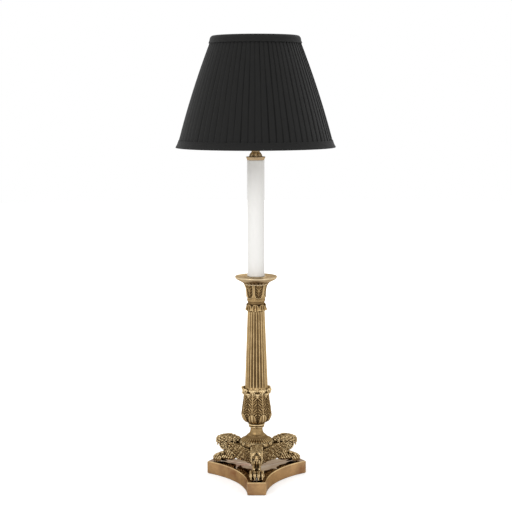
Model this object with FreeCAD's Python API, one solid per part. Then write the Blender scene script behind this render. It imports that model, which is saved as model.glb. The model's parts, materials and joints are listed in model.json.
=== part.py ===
import FreeCAD, Part
import math
import os

V = FreeCAD.Vector
ORIGIN = V(0, 0, 0)
UP = V(0, 0, 1)

# Candle table lamp on a three-legged base, in millimetres.
# The origin is on the lamp's axis at the table, +Z is up and the front leg points along -Y.

# Plinth and what is under it
felt_thickness = 1.2
felt_inset = 1.5
plinth_height = 22.1
leg_reach = 88.0
corner_margin = 7.0
corner_distance = leg_reach + corner_margin
corner_width = 32.4
waist_distance = 43.0
plinth_bevel = 1.2
plinth_wall = 4.5
deck_thickness = 6.0
bush_bore_radius = 3.25
bush_body_radius = 4.6
bush_flange_radius = 6.2
bush_flange_thickness = 1.6
screw_radius = 2.5
screw_head_radius = 4.4
screw_head_height = 2.8
screw_grip = 8.0
screw_set_back = 9.0

# Legs
leg_count = 3
leg_height = 52.5
leg_inner = 34.0
thigh_width = 20.0
shank_width = 15.0
foot_width = 21.0
paw_width = 26.0
toe_count = 4
toe_length = 17.0
toe_height = 15.0
volute_radius = 9.8
volute_width = 18.0
nub_radius = 3.6
nub_width = 8.5

# Winged hub between the legs
hub_corner_top = 59.0
hub_corner_bottom = 39.0
hub_waist_top = 28.5
hub_waist_bottom = 18.5
hub_corner_width = 13.0

# Turned and cast pieces of the stem, from the bottom up
bead_ring_radius = 26.5
bead_ring_height = 8.5
bead_width = 8.0
bead_height = 6.4
bead_relief = 4.0
bead_count = 12
dome_radius = 28.2
dome_height = 10.5
gadroon_count = 36
gadroon_depth = 1.1
neck_foot_radius = 16.6
neck_height = 22.0
calyx_radius = 26.1
calyx_height = 58.0
calyx_leaves = 8
calyx_crease = 1.7
calyx_rim = 1.5
tip_droop = 5.8
petal_width = 13.0
petal_height = 18.0
petal_relief = 1.2
petal_root = 5.0
column_foot_radius = 20.7
column_top_radius = 15.3
column_length = 147.0
flute_count = 21
flute_depth = 1.7
column_bore_radius = 10.0
column_play = 0.5
collar_radius = 18.6
collar_height = 16.0
collar_leaves = 8
collar_crease = 1.2
collar_arch = 3.0
capital_top_radius = 20.2
capital_height = 30.5
capital_panels = 6
panel_relief = 0.9
pan_radius = 37.3
pan_height = 14.5

# Candle and its cap
sleeve_radius = 15.3
sleeve_wall = 1.3
sleeve_length = 205.0
cap_radius = 16.7
cap_height = 15.5
cap_leaves = 8
cap_crease = 0.9
spigot_length = 6.0

# Threaded rod through the stem, with its nut and washer
rod_radius = 5.0
rod_bore_radius = 3.6
rod_tail = 3.0
nut_width = 15.0
nut_height = 5.0
washer_radius = 11.0
washer_thickness = 1.5

# Lampholder
holder_boss_radius = 9.0
holder_boss_height = 5.0
holder_base_height = 20.0
holder_shell_wall = 1.2
holder_skirt_radius = 19.5
holder_skirt_length = 34.0
holder_lip_radius = 15.2
holder_lip_thickness = 1.4
insulator_ledge = 3.0
insulator_floor = 5.0
shell_radius = 14.1
shell_wall = 0.5
shell_length = 26.0
wire_hole_radius = 2.0
contact_radius = 4.0
contact_height = 2.5

# Bulb
bulb_cap_radius = 13.2
bulb_cap_length = 20.0
bulb_tip_radius = 4.6
bulb_tip_height = 2.0
bulb_seal_height = 4.0
bulb_radius = 17.5
bulb_glass_length = 74.0

# Shade rings on the lampholder
ring_radius = 26.0
ring_height = 5.0
ring_grips = 24
ring_grip_depth = 0.9
ring_level = 31.0

# Shade
shade_bottom_radius = 137.4
shade_top_radius = 74.6
shade_height = 192.4
shade_bow = 3.5
shade_drop = 30.0
pleat_count = 70
pleat_depth = 1.4
cloth_thickness = 0.5
lining_thickness = 0.6
trim_thickness = 0.5
top_trim_flare = 4.6
top_trim_height = 13.2
bottom_trim_flare = 2.6
bottom_trim_height = 12.8
wire_radius = 1.5
strut_radius = 1.2
strut_count = 6
arm_count = 3
arm_width = 6.0
arm_thickness = 1.6
fitter_radius = 27.0
fitter_thickness = 1.8
fitter_play = 0.9

# Fits and working allowances
thread_clearance = 0.05
slip_clearance = 0.3
cloth_clearance = 0.3
overrun = 5.0

# Flat sides round the turned pieces
turning_sides = 32
small_turning_sides = 24
wire_ring_sides = 42
wire_sides = 6
shade_bands = 3

# Directions round the axis, in degrees, seen from above
front_angle = -90.0
full_turn = 360.0
bead_phase = 3.0
calyx_phase = -17.6
flute_phase = 9.8
collar_phase = -4.6
capital_phase = 16.5

# Levels that several pieces share
hub_bottom_share = 0.185
hub_shoulder_share = 0.604
hub_top_share = 0.776
plinth_top = felt_thickness + plinth_height
cavity_top = plinth_top - deck_thickness
hub_bottom = plinth_top + leg_height * hub_bottom_share
hub_shoulder = plinth_top + leg_height * hub_shoulder_share
hub_top = plinth_top + leg_height * hub_top_share
dome_foot = hub_top + bead_ring_height
neck_foot = dome_foot + dome_height
calyx_foot = neck_foot + neck_height
column_foot = calyx_foot + calyx_height
collar_foot = column_foot + column_length
capital_foot = collar_foot + collar_height
pan_foot = capital_foot + capital_height
sleeve_foot = pan_foot + pan_height
sleeve_top = sleeve_foot + sleeve_length
holder_foot = sleeve_top + cap_height
skirt_foot = holder_foot + holder_base_height
fitter_level = holder_foot + ring_level + ring_height + slip_clearance
shade_bottom = fitter_level - shade_drop
top_trim_radius = shade_top_radius + top_trim_flare
bottom_trim_radius = shade_bottom_radius + bottom_trim_flare
rod_hole_radius = rod_radius + slip_clearance
screw_distance = leg_reach - screw_set_back


def polar(radius, angle, height=0):
    """point at a radius and an angle round the axis"""
    turn = math.radians(angle)
    return V(radius * math.cos(turn), radius * math.sin(turn), height)


def line(start, end):
    return Part.LineSegment(start, end).toShape()


def arc(start, middle, end):
    return Part.Arc(start, middle, end).toShape()


def flat(points):
    """flat face inside a loop of points"""
    return Part.Face(Part.makePolygon(list(points) + [points[0]]))


def round_ring(radius, height, sides):
    """ring of points round the axis"""
    return [polar(radius, front_angle + k * full_turn / sides, height) for k in range(sides)]


def turned(outline):
    """solid turned round Z from a closed outline of (radius, height) points"""
    return flat([V(r, 0, h) for r, h in outline]).revolve(ORIGIN, UP, full_turn)


def scaled(shares, width, height, level=0):
    """outline points from shares of a width and a height, above a level"""
    return [(r * width, level + h * height) for r, h in shares]


def disc(radius, bottom, top):
    return Part.makeCylinder(radius, top - bottom, V(0, 0, bottom))


def tube(outer, inner, bottom, top):
    return bored(disc(outer, bottom, top), inner, bottom, top)


def bored(shape, radius, bottom, top):
    return shape.cut(disc(radius, bottom - overrun, top + overrun))


def rotated(shape, angle):
    return shape.rotated(ORIGIN, UP, angle)


def around(shape, count, phase=0):
    """copies of a shape spaced evenly round the axis"""
    return [rotated(shape, phase + k * full_turn / count) for k in range(count)]


def fused(shapes):
    return shapes[0].multiFuse(shapes[1:]).removeSplitter()


def many_sided_rod(outline):
    """plain turned rod with flat sides, from its (radius, height) points upward"""
    return faceted([round_ring(r, h, small_turning_sides) for r, h in outline])


def with_rod_hole(shape, bottom, top):
    return shape.cut(many_sided_rod([(rod_hole_radius, bottom - overrun), (rod_hole_radius, top + overrun)]))


def closed_solid(faces):
    """solid inside faces that close on each other"""
    solid = Part.Solid(Part.Shell(faces))
    return solid if solid.Volume > 0 else Part.Solid(Part.Shell([f.reversed() for f in faces]))


def faceted(rings):
    """solid with flat facets through rings of equally many points; its first and last rings are flat"""
    faces = [flat(rings[0][::-1]), flat(rings[-1])]
    for low, high in zip(rings, rings[1:]):
        for i in range(len(low)):
            j = (i + 1) % len(low)
            faces.append(flat((low[i], low[j], high[j])))
            faces.append(flat((low[i], high[j], high[i])))
    return closed_solid(faces).removeSplitter()


def many_sided(outline, sides):
    """turned form with flat sides, from a closed outline of (radius, height) points that stays off the axis"""
    faces = []
    for k in range(sides):
        first, second = front_angle + k * full_turn / sides, front_angle + (k + 1) * full_turn / sides
        for i in range(len(outline)):
            (r, h), (next_r, next_h) = outline[i], outline[(i + 1) % len(outline)]
            low = (polar(r, first, h), polar(r, second, h))
            high = (polar(next_r, second, next_h), polar(next_r, first, next_h))
            faces.append(flat(low + high))
    return closed_solid(faces)


def lobed_ring(level, lobe, count, phase):
    """ring of points; a level is radius, depth, height and lift, a lobe is shares of one pitch, the depth and the lift"""
    radius, depth, height, lift = level
    pitch = full_turn / count
    points = []
    for k in range(count):
        for turn, dip in lobe:
            points.append(polar(radius - depth * dip, phase + (k + turn) * pitch, height + lift * dip))
    return points


def lobed(levels, lobe, count, phase):
    return faceted([lobed_ring(level, lobe, count, phase) for level in levels])


# One lobe from crease to crease: share of the pitch, share of the crease's depth.
leaf_lobe_shares = ((-0.5, 1.0), (-0.3, 0.12), (0.0, 0.0), (0.3, 0.12))
gadroon_lobe_shares = ((-0.5, 1.0), (-0.22, 0.08), (0.22, 0.08))
flute_lobe_shares = ((-0.16, 0.0), (0.16, 0.0), (0.3, 0.72), (0.5, 1.0), (0.7, 0.72))
grip_lobe_shares = ((-0.5, 1.0), (-0.2, 0.0), (0.2, 0.0))
pleat_lobe_shares = ((-0.36, 0.0), (0.36, 0.0), (0.5, 1.0))


# Plinth


def three_cornered_wire(corner, half_width, waist, height):
    """outline with three flat corners joined by hollow sides"""
    edges = []
    for k in range(leg_count):
        angle = front_angle + k * full_turn / leg_count
        side = angle + full_turn / leg_count / 2
        right = rotated(Part.Vertex(V(corner, -half_width, height)), angle).Point
        left = rotated(Part.Vertex(V(corner, half_width, height)), angle).Point
        next_right = rotated(Part.Vertex(V(corner, -half_width, height)), angle + full_turn / leg_count).Point
        edges.append(line(right, left))
        edges.append(arc(left, polar(waist, side, height), next_right))
    return Part.Wire(edges)


def plinth_wire(inset, height):
    return three_cornered_wire(corner_distance - inset, corner_width / 2 - inset, waist_distance - inset, height)


def plinth_prism(inset, bottom, top):
    return Part.Face(plinth_wire(inset, bottom)).extrude(V(0, 0, top - bottom))


def base_felt():
    return plinth_prism(felt_inset, 0, felt_thickness)


bush_axis_height = (felt_thickness + cavity_top) / 2


def lying(shape, distance, height):
    """shape turned round Z, laid with its axis along +Y at a distance and a height"""
    return shape.rotated(ORIGIN, V(1, 0, 0), -90).translated(V(0, distance, height))


def plinth():
    shoulder = plinth_top - plinth_bevel
    block = plinth_prism(0, felt_thickness, shoulder)
    bevel = Part.makeLoft([plinth_wire(0, shoulder), plinth_wire(plinth_bevel, plinth_top)], True, True)
    body = fused([block, bevel])
    body = body.cut(plinth_prism(plinth_wall, felt_thickness - overrun, cavity_top))
    body = bored(body, rod_hole_radius, cavity_top, plinth_top)
    screw_hole = disc(screw_radius + slip_clearance, felt_thickness, plinth_top + overrun)
    screw_holes = around(screw_hole.translated(V(screw_distance, 0, 0)), leg_count, front_angle)
    bush_hole = disc(bush_body_radius + thread_clearance, 0, plinth_wall + 2 * overrun)
    return body.cut(screw_holes + [lying(bush_hole, waist_distance - plinth_wall - overrun, bush_axis_height)])


def side_radius():
    """radius of the plinth's hollow side, from its chord and its depth"""
    half_turn = math.radians(full_turn / leg_count / 2)
    along = corner_distance * math.sin(half_turn) - corner_width / 2 * math.cos(half_turn)
    out = corner_distance * math.cos(half_turn) + corner_width / 2 * math.sin(half_turn)
    depth = out - waist_distance
    return (along ** 2 + depth ** 2) / (2 * depth)


def cord_bush():
    """rubber grommet whose groove grips the rear wall"""
    side_sag = bush_flange_radius ** 2 / (2 * side_radius())
    start = waist_distance - plinth_wall - bush_flange_thickness
    outer_flange = waist_distance + side_sag - start
    length = outer_flange + bush_flange_thickness
    outline = [(bush_bore_radius, 0), (bush_flange_radius, 0), (bush_flange_radius, bush_flange_thickness)]
    outline += [(bush_body_radius, bush_flange_thickness), (bush_body_radius, outer_flange)]
    outline += [(bush_flange_radius, outer_flange), (bush_flange_radius, length), (bush_bore_radius, length)]
    return lying(turned(outline), start, bush_axis_height)


def leg_screws():
    top = plinth_top + screw_grip
    outline = [(screw_head_radius, cavity_top - screw_head_height), (screw_head_radius, cavity_top)]
    outline += [(screw_radius, cavity_top), (screw_radius, top)]
    screw = many_sided_rod(outline).translated(V(screw_distance, 0, 0))
    return Part.makeCompound(around(screw, leg_count, front_angle))


# Legs

leg_span = leg_reach - leg_inner
oval_sides = 8

# Each row: distance and height along the leg, half width and half height of the section there.
thigh_shares = (
    (0.00, 0.845, 0.30, 0.070),
    (0.14, 0.870, 0.42, 0.100),
    (0.32, 0.865, 0.50, 0.130),
    (0.52, 0.850, 0.50, 0.145),
    (0.68, 0.795, 0.42, 0.135),
    (0.78, 0.730, 0.24, 0.090),
)
# Each row: height, distance of the section's middle, half depth and half width.
shank_shares = (
    (0.10, 0.42, 0.150, 0.42),
    (0.28, 0.40, 0.185, 0.48),
    (0.40, 0.42, 0.175, 0.50),
    (0.52, 0.50, 0.190, 0.53),
    (0.66, 0.56, 0.200, 0.53),
)
# Each row: distance, height of the middle, half width and half height.
foot_shares = (
    (0.22, 0.195, 0.26, 0.065),
    (0.32, 0.190, 0.34, 0.095),
    (0.50, 0.185, 0.37, 0.110),
    (0.68, 0.160, 0.43, 0.125),
    (0.84, 0.140, 0.50, 0.130),
)


def oval(centre, across, along, sides=oval_sides):
    """ring of points round an oval with two half axes given as vectors"""
    turns = [2 * math.pi * k / sides for k in range(sides)]
    return [centre + across * math.cos(t) + along * math.sin(t) for t in turns]


def leg_point(distance_share, height_share):
    return V(leg_inner + distance_share * leg_span, 0, plinth_top + height_share * leg_height)


def across_loft(rows, width):
    """solid through ovals in planes square to the leg's own direction"""
    rings = []
    for distance, height, half_width, half_height in rows:
        across, along = V(0, half_width * width, 0), V(0, 0, half_height * leg_height)
        rings.append(oval(leg_point(distance, height), across, along))
    return faceted(rings)


def upright_loft(rows, width):
    """solid through level ovals"""
    rings = []
    for height, distance, half_depth, half_width in rows:
        across, along = V(half_depth * leg_span, 0, 0), V(0, half_width * width, 0)
        rings.append(oval(leg_point(distance, height), across, along))
    return faceted(rings)


def wheel(shares, radius, half_width, sides, place):
    """round form on a cross axis; each row is a share of the radius and of the half width"""
    rings = []
    for radius_share, side_share in shares:
        centre = V(0, side_share * half_width, 0)
        rings.append(oval(place + centre, V(radius_share * radius, 0, 0), V(0, 0, radius_share * radius), sides))
    return faceted(rings)


volute_distance_share = 0.593
volute_height_share = 0.610
volute_sides = 12
volute_shares = (
    (0.26, -1.00), (0.38, -0.82), (0.62, -0.82), (0.74, -0.95), (0.90, -0.88), (1.00, -0.62),
    (1.00, 0.62), (0.90, 0.88), (0.74, 0.95), (0.62, 0.82), (0.38, 0.82), (0.26, 1.00),
)
nub_distance_share = 0.780
nub_height_share = 0.735
nub_sides = 8
nub_shares = ((0.45, -1.0), (0.85, -0.8), (1.0, -0.4), (1.0, 0.4), (0.85, 0.8), (0.45, 1.0))
# Each row: share of the toe's length from its tip, shares of its half width and of its height.
toe_shares = ((0.00, 0.45, 0.20), (0.14, 0.85, 0.38), (0.38, 1.00, 0.50), (0.70, 0.92, 0.44), (1.00, 0.60, 0.26))
toe_middle_share = 0.5
toe_overlap_share = 1.1
toe_set_back_share = 0.55
toe_sides = 6


def toes():
    """row of long rounded toes, the outer ones set back"""
    pitch = paw_width / toe_count
    row = []
    for k in range(toe_count):
        side = (k - (toe_count - 1) / 2) * pitch
        tip = leg_reach - side ** 2 / paw_width * toe_set_back_share
        rings = []
        for back, half_width, half_height in toe_shares:
            centre = V(tip - back * toe_length, side, plinth_top + toe_height * toe_middle_share)
            across = V(0, half_width * pitch / 2 * toe_overlap_share, 0)
            rings.append(oval(centre, across, V(0, 0, half_height * toe_height), toe_sides))
        row.append(faceted(rings))
    return row


def hub_corner(height):
    """distance of the hub's corner from the axis at a height"""
    rise = (height - hub_bottom) / (hub_shoulder - hub_bottom)
    return hub_corner_bottom + (hub_corner_top - hub_corner_bottom) * min(rise, 1)


def leg():
    """one cast leg in its own direction along +X, cut to the plinth and to the hub's corner"""
    scroll = wheel(
        volute_shares, volute_radius, volute_width / 2, volute_sides, leg_point(volute_distance_share, volute_height_share))
    curl = wheel(nub_shares, nub_radius, nub_width / 2, nub_sides, leg_point(nub_distance_share, nub_height_share))
    parts = [across_loft(thigh_shares, thigh_width), upright_loft(shank_shares, shank_width)]
    parts += [across_loft(foot_shares, foot_width), scroll, curl] + toes()
    body = fused(parts)
    below = Part.makeBox(leg_reach + overrun, paw_width * 2, plinth_top, V(0, -paw_width, 0))
    heights = (plinth_top, hub_shoulder, hub_top)
    outline = [V(0, -paw_width, plinth_top)] + [V(hub_corner(h), -paw_width, h) for h in heights]
    hub_side = flat(outline + [V(0, -paw_width, hub_top)]).extrude(V(0, paw_width * 2, 0))
    hole = disc(screw_radius + thread_clearance, plinth_top - overrun, plinth_top + screw_grip + slip_clearance)
    return body.cut([below, hub_side, hole.translated(V(screw_distance, 0, 0))])


# Hub

hub_waist_share = 0.8
hub_side_facets = 8


def hub_ring(corner, waist, height):
    """ring of points: three flat corners joined by hollow sides, each side an arc through evenly spaced points"""
    points = []
    for k in range(leg_count):
        angle = front_angle + k * full_turn / leg_count
        right, left = (rotated(Part.Vertex(V(corner, s * hub_corner_width / 2, height)), angle).Point for s in (-1, 1))
        next_right = rotated(Part.Vertex(right), full_turn / leg_count).Point
        side = Part.Arc(left, polar(waist, angle + full_turn / leg_count / 2, height), next_right).toShape()
        points += [right] + side.discretize(hub_side_facets + 1)[:-1]
    return points


def winged_hub():
    shoulder_waist = hub_waist_bottom + (hub_waist_top - hub_waist_bottom) * hub_waist_share
    rings = [
        hub_ring(hub_corner_bottom, hub_waist_bottom, hub_bottom),
        hub_ring(hub_corner_top, shoulder_waist, hub_shoulder),
        hub_ring(hub_corner_top, hub_waist_top, hub_top),
    ]
    return with_rod_hole(faceted(rings), hub_bottom, hub_top)


# Stem

bead_shares = ((-0.9, 0.9), (0.1, 1.0), (0.65, 0.72), (1.0, 0.3))
bead_height_share = 0.62
bead_sides = 8


def bead_ring():
    """band with a row of rounded beads"""
    middle = hub_top + bead_ring_height * bead_height_share
    rings = []
    for out, size in bead_shares:
        centre = V(bead_ring_radius + out * bead_relief, 0, middle)
        rings.append(oval(centre, V(0, size * bead_width / 2, 0), V(0, 0, size * bead_height / 2), bead_sides))
    beads = around(faceted(rings), bead_count, front_angle + bead_phase)
    band = faceted([round_ring(bead_ring_radius, h, turning_sides) for h in (hub_top, dome_foot)])
    return with_rod_hole(fused([band] + beads), hub_top, dome_foot)


dome_level_shares = ((0.95, 0.6, 0.00), (1.00, 1.0, 0.16), (0.92, 1.0, 0.50))
dome_crown_share = 0.3


def gadroon_dome():
    levels = [(r * dome_radius, d * gadroon_depth, dome_foot + h * dome_height, 0) for r, d, h in dome_level_shares]
    levels.append((neck_foot_radius, gadroon_depth * dome_crown_share, neck_foot, 0))
    body = lobed(levels, gadroon_lobe_shares, gadroon_count, front_angle)
    return with_rod_hole(body, dome_foot, neck_foot)


neck_shares = (
    (1.00, 0.00), (0.86, 0.07), (0.76, 0.17), (0.68, 0.30), (0.655, 0.48), (0.68, 0.63), (0.80, 0.66),
    (0.84, 0.71), (0.80, 0.75), (0.73, 0.77), (0.80, 0.80), (0.885, 0.87), (0.885, 0.94), (0.80, 1.00),
)


def neck():
    outer = scaled(neck_shares, neck_foot_radius, neck_height, neck_foot)
    return many_sided([(rod_hole_radius, neck_foot)] + outer + [(rod_hole_radius, calyx_foot)], turning_sides)


# Each row: radius, crease depth, height and droop of the creases.
calyx_level_shares = (
    (0.556, 0.2, 0.00, 0.0), (0.790, 0.5, 0.06, 0.0), (0.890, 0.8, 0.13, 0.0), (0.975, 1.0, 0.24, 0.0),
    (1.000, 1.0, 0.33, 0.0), (0.945, 1.0, 0.52, 0.0), (0.865, 1.0, 0.76, 0.0), (0.847, 1.0, 0.90, 0.0),
    (0.880, 1.2, 0.97, 0.1), (0.950, 1.5, 1.05, 0.5), (0.965, 1.7, 1.12, 1.0),
)
# Each row: height, half width and relief of a petal.
petal_level_shares = ((0.0, 0.35, 0.0), (0.25, 0.9, 0.8), (0.55, 1.0, 1.0), (0.82, 0.8, 1.0), (1.0, 0.3, 0.5))
petal_foot_share = 0.035


def calyx_surface(height):
    """radius of the leaf crests at a height above the calyx's foot"""
    rows = [(h * calyx_height, r * calyx_radius) for r, d, h, e in calyx_level_shares]
    for (low, first), (high, second) in zip(rows, rows[1:]):
        if height <= high:
            return first + (second - first) * (height - low) / (high - low)
    return rows[-1][1]


def petal():
    """short rounded leaf that laps over the calyx's foot, in the +X direction"""
    rings = []
    for rise, width, relief in petal_level_shares:
        height = calyx_height * petal_foot_share + rise * petal_height
        out = calyx_surface(height) + relief * petal_relief
        half = width * petal_width / 2
        edge = math.sqrt(out ** 2 - half ** 2)
        level = calyx_foot + height
        rings.append([V(out - petal_root, 0, level), V(edge - petal_relief, -half, level), V(out, -half / 2, level),
                      V(out, half / 2, level), V(edge - petal_relief, half, level)])
    return faceted(rings)


def calyx():
    """cup of leaves whose tips curl out round the foot of the column"""
    levels = []
    for r, d, h, e in calyx_level_shares:
        levels.append((r * calyx_radius, d * calyx_crease, calyx_foot + h * calyx_height, -e * tip_droop))
    tip = levels[-1]
    levels.append((tip[0] - calyx_rim, tip[1] - calyx_rim / 2, tip[2], tip[3]))
    levels.append((column_foot_radius + column_play, 0, column_foot, 0))
    phase = front_angle + calyx_phase
    cup = lobed(levels, leaf_lobe_shares, calyx_leaves, phase)
    return with_rod_hole(fused([cup] + around(petal(), calyx_leaves, phase)), calyx_foot, column_foot)


def fluted_column():
    slim = column_top_radius / column_foot_radius
    levels = [(column_foot_radius, flute_depth, column_foot, 0), (column_top_radius, flute_depth * slim, collar_foot, 0)]
    body = lobed(levels, flute_lobe_shares, flute_count, front_angle + flute_phase)
    return bored(body, column_bore_radius, column_foot, collar_foot)


# Each row: radius, crease depth, height and arch of the creases.
collar_level_shares = (
    (0.840, 0.0, 0.00, 0.0), (0.950, 0.8, 0.01, 1.0), (1.000, 1.0, 0.16, 0.7), (0.960, 1.0, 0.36, 0.2),
    (0.910, 0.7, 0.64, 0.0), (0.860, 0.2, 0.72, 0.0), (0.812, 0.0, 0.76, 0.0), (0.812, 0.0, 1.00, 0.0),
)


def leaf_collar():
    """ring of drooping leaves with arched gaps, over the top of the column"""
    levels = []
    for r, d, h, e in collar_level_shares:
        levels.append((r * collar_radius, d * collar_crease, collar_foot + h * collar_height, e * collar_arch))
    body = lobed(levels, leaf_lobe_shares, collar_leaves, front_angle + collar_phase)
    return with_rod_hole(body, collar_foot, capital_foot)


# Each row: radius, height and half width of the panel there as a share of its pitch.
bell_shares = (
    (0.76, 0.00, 0.0), (0.80, 0.05, 0.0), (0.80, 0.14, 0.0), (0.76, 0.19, 0.0), (0.80, 0.24, 0.14), (0.80, 0.30, 0.30),
    (0.81, 0.42, 0.39), (0.83, 0.62, 0.41), (0.87, 0.80, 0.42), (0.93, 0.93, 0.42), (1.00, 1.00, 0.0),
)
panel_rim_share = 0.835
panel_field_share = 0.615
panel_leaf_share = 0.8
panel_least_share = 0.12


def panel_ring(radius, height, half_share):
    """ring of points that steps out to a raised rim and a leaf in each panel"""
    half = max(half_share, panel_least_share)
    raised = panel_relief if half_share > 0 else 0
    pitch = full_turn / capital_panels
    profile = [(-0.5, 0), (-half, 0), (-half * panel_rim_share, raised), (-half * panel_field_share, 0)]
    profile += [(0, raised * panel_leaf_share)]
    profile += [(-turn, rise) for turn, rise in profile[3:0:-1]]
    points = []
    for k in range(capital_panels):
        for turn, rise in profile:
            points.append(polar(radius + rise, front_angle + capital_phase + (k + turn) * pitch, height))
    return points


def capital():
    """bell with a row of framed leaf panels, over a plain ring"""
    rings = [panel_ring(r * capital_top_radius, capital_foot + h * capital_height, p) for r, h, p in bell_shares]
    return with_rod_hole(faceted(rings), capital_foot, pan_foot)


pan_shares = (
    (0.542, 0.00), (0.575, 0.22), (0.650, 0.36), (0.770, 0.45), (0.960, 0.70), (1.000, 0.90),
    (0.980, 1.00), (0.940, 0.98), (0.800, 0.90), (0.540, 0.92), (0.440, 1.00),
)


def spigot_radius():
    return sleeve_radius - sleeve_wall - slip_clearance


def drip_pan():
    """shallow dish with a spigot that centres the candle"""
    top = sleeve_foot + spigot_length
    inner = [(spigot_radius(), sleeve_foot), (spigot_radius(), top), (rod_hole_radius, top)]
    dish = scaled(pan_shares, pan_radius, pan_height, pan_foot)
    return many_sided([(rod_hole_radius, pan_foot)] + dish + inner, turning_sides)


def candle_sleeve():
    return tube(sleeve_radius, sleeve_radius - sleeve_wall, sleeve_foot, sleeve_top)


cap_brim_shares = ((0.92, 0.00), (1.00, 0.18), (1.00, 0.38), (0.945, 0.38), (0.92, 0.23))
cap_dome_shares = ((0.71, 0.6, 0.20), (0.66, 1.0, 0.46), (0.58, 0.8, 0.68), (0.44, 0.5, 0.90), (0.42, 0.3, 1.00))


def candle_cap():
    """cap with a turned-up brim and a leafy dome"""
    foot = sleeve_top - spigot_length
    tray = [(rod_hole_radius, foot), (spigot_radius(), foot), (spigot_radius(), sleeve_top)]
    tray += scaled(cap_brim_shares, cap_radius, cap_height, sleeve_top)
    tray.append((rod_hole_radius, tray[-1][1]))
    levels = [(r * cap_radius, d * cap_crease, sleeve_top + h * cap_height, 0) for r, d, h in cap_dome_shares]
    dome = lobed(levels, gadroon_lobe_shares, cap_leaves, front_angle)
    return fused([many_sided(tray, turning_sides), with_rod_hole(dome, sleeve_top, holder_foot)])


# Rod with its fastenings


def threaded_rod():
    bottom = cavity_top - washer_thickness - nut_height - rod_tail
    return tube(rod_radius, rod_bore_radius, bottom, holder_foot + holder_boss_height)


def base_washer():
    bottom = cavity_top - washer_thickness
    outline = [(rod_hole_radius, bottom), (washer_radius, bottom), (washer_radius, cavity_top), (rod_hole_radius, cavity_top)]
    return many_sided(outline, small_turning_sides)


def base_nut():
    top = cavity_top - washer_thickness
    sides = 6
    corners = [polar(nut_width / math.sqrt(3), k * full_turn / sides, top - nut_height) for k in range(sides)]
    return bored(flat(corners).extrude(V(0, 0, nut_height)), rod_radius + thread_clearance, top - nut_height, top)


# Lampholder

holder_ledge_share = 0.7
holder_shoulder_share = 0.62
holder_ledge = holder_foot + holder_base_height * holder_ledge_share
skirt_inner = holder_skirt_radius - holder_shell_wall
skirt_top = skirt_foot + holder_skirt_length
shell_foot = holder_ledge + insulator_floor
contact_top = shell_foot + contact_height
holder_bowl_shares = ((0.45, 0.30), (0.80, 0.60))


def holder_base():
    """bowl that screws onto the rod and carries the insulator on a ledge"""
    bore = rod_radius + thread_clearance
    boss_top = holder_foot + holder_boss_height
    shoulder = holder_foot + holder_base_height * holder_shoulder_share
    flare = holder_skirt_radius - holder_boss_radius
    outline = [(bore, holder_foot), (holder_boss_radius, holder_foot), (holder_boss_radius, boss_top)]
    outline += [(holder_boss_radius + s * flare, boss_top + t * (shoulder - boss_top) / 2) for s, t in holder_bowl_shares]
    outline += [(holder_skirt_radius, shoulder), (holder_skirt_radius, skirt_foot)]
    outline += [(skirt_inner, skirt_foot), (skirt_inner, holder_ledge), (skirt_inner - insulator_ledge, holder_ledge)]
    floor = boss_top + holder_shell_wall
    outline += [(holder_boss_radius, floor), (bore, floor)]
    return many_sided(outline, turning_sides)


def holder_skirt():
    lip = skirt_top - holder_lip_thickness
    outline = [(skirt_inner, skirt_foot), (holder_skirt_radius, skirt_foot), (holder_skirt_radius, skirt_top)]
    outline += [(holder_lip_radius, skirt_top), (holder_lip_radius, lip), (skirt_inner, lip)]
    return many_sided(outline, turning_sides)


def holder_insulator():
    """ceramic cup round the screw shell, with a hole for the contact's wire"""
    outer, bore = skirt_inner - slip_clearance, shell_radius + slip_clearance
    top = skirt_top - holder_lip_thickness - slip_clearance
    outline = [(wire_hole_radius, holder_ledge), (outer, holder_ledge), (outer, top), (bore, top), (bore, shell_foot)]
    return many_sided(outline + [(wire_hole_radius, shell_foot)], small_turning_sides)


def screw_shell():
    inner, top = shell_radius - shell_wall, shell_foot + shell_length
    return many_sided([(inner, shell_foot), (shell_radius, shell_foot), (shell_radius, top), (inner, top)], small_turning_sides)


def centre_contact():
    return many_sided_rod([(contact_radius, shell_foot), (contact_radius, contact_top)])


# Bulb

bulb_foot = contact_top + slip_clearance
bulb_seal_foot = bulb_foot + bulb_tip_height
bulb_cap_foot = bulb_seal_foot + bulb_seal_height
bulb_cap_top = bulb_cap_foot + bulb_cap_length
bulb_shares = (
    (0.71, 0.00), (0.80, 0.14), (0.93, 0.26), (1.00, 0.42), (0.97, 0.54), (0.84, 0.70), (0.60, 0.85), (0.30, 0.96),
    (0.12, 1.00),
)


def bulb_contact():
    return many_sided_rod([(bulb_tip_radius, bulb_foot), (bulb_tip_radius, bulb_seal_foot)])


def bulb_seal():
    return many_sided_rod([(bulb_tip_radius, bulb_seal_foot), (bulb_cap_radius - slip_clearance, bulb_cap_foot)])


def bulb_cap():
    return many_sided_rod([(bulb_cap_radius, bulb_cap_foot), (bulb_cap_radius, bulb_cap_top)])


def bulb_glass():
    """torpedo envelope on top of the cap"""
    return many_sided_rod(scaled(bulb_shares, bulb_radius, bulb_glass_length, bulb_cap_top))


# Shade rings


def shade_ring(bottom):
    """threaded ring with a scalloped grip"""
    top = bottom + ring_height
    levels = [(ring_radius, ring_grip_depth, level, 0) for level in (bottom, top)]
    body = lobed(levels, grip_lobe_shares, ring_grips, front_angle)
    return bored(body, holder_skirt_radius + thread_clearance, bottom, top)


def lower_shade_ring():
    return shade_ring(holder_foot + ring_level)


def upper_shade_ring():
    return shade_ring(fitter_level + fitter_thickness + slip_clearance)


# Shade

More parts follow.
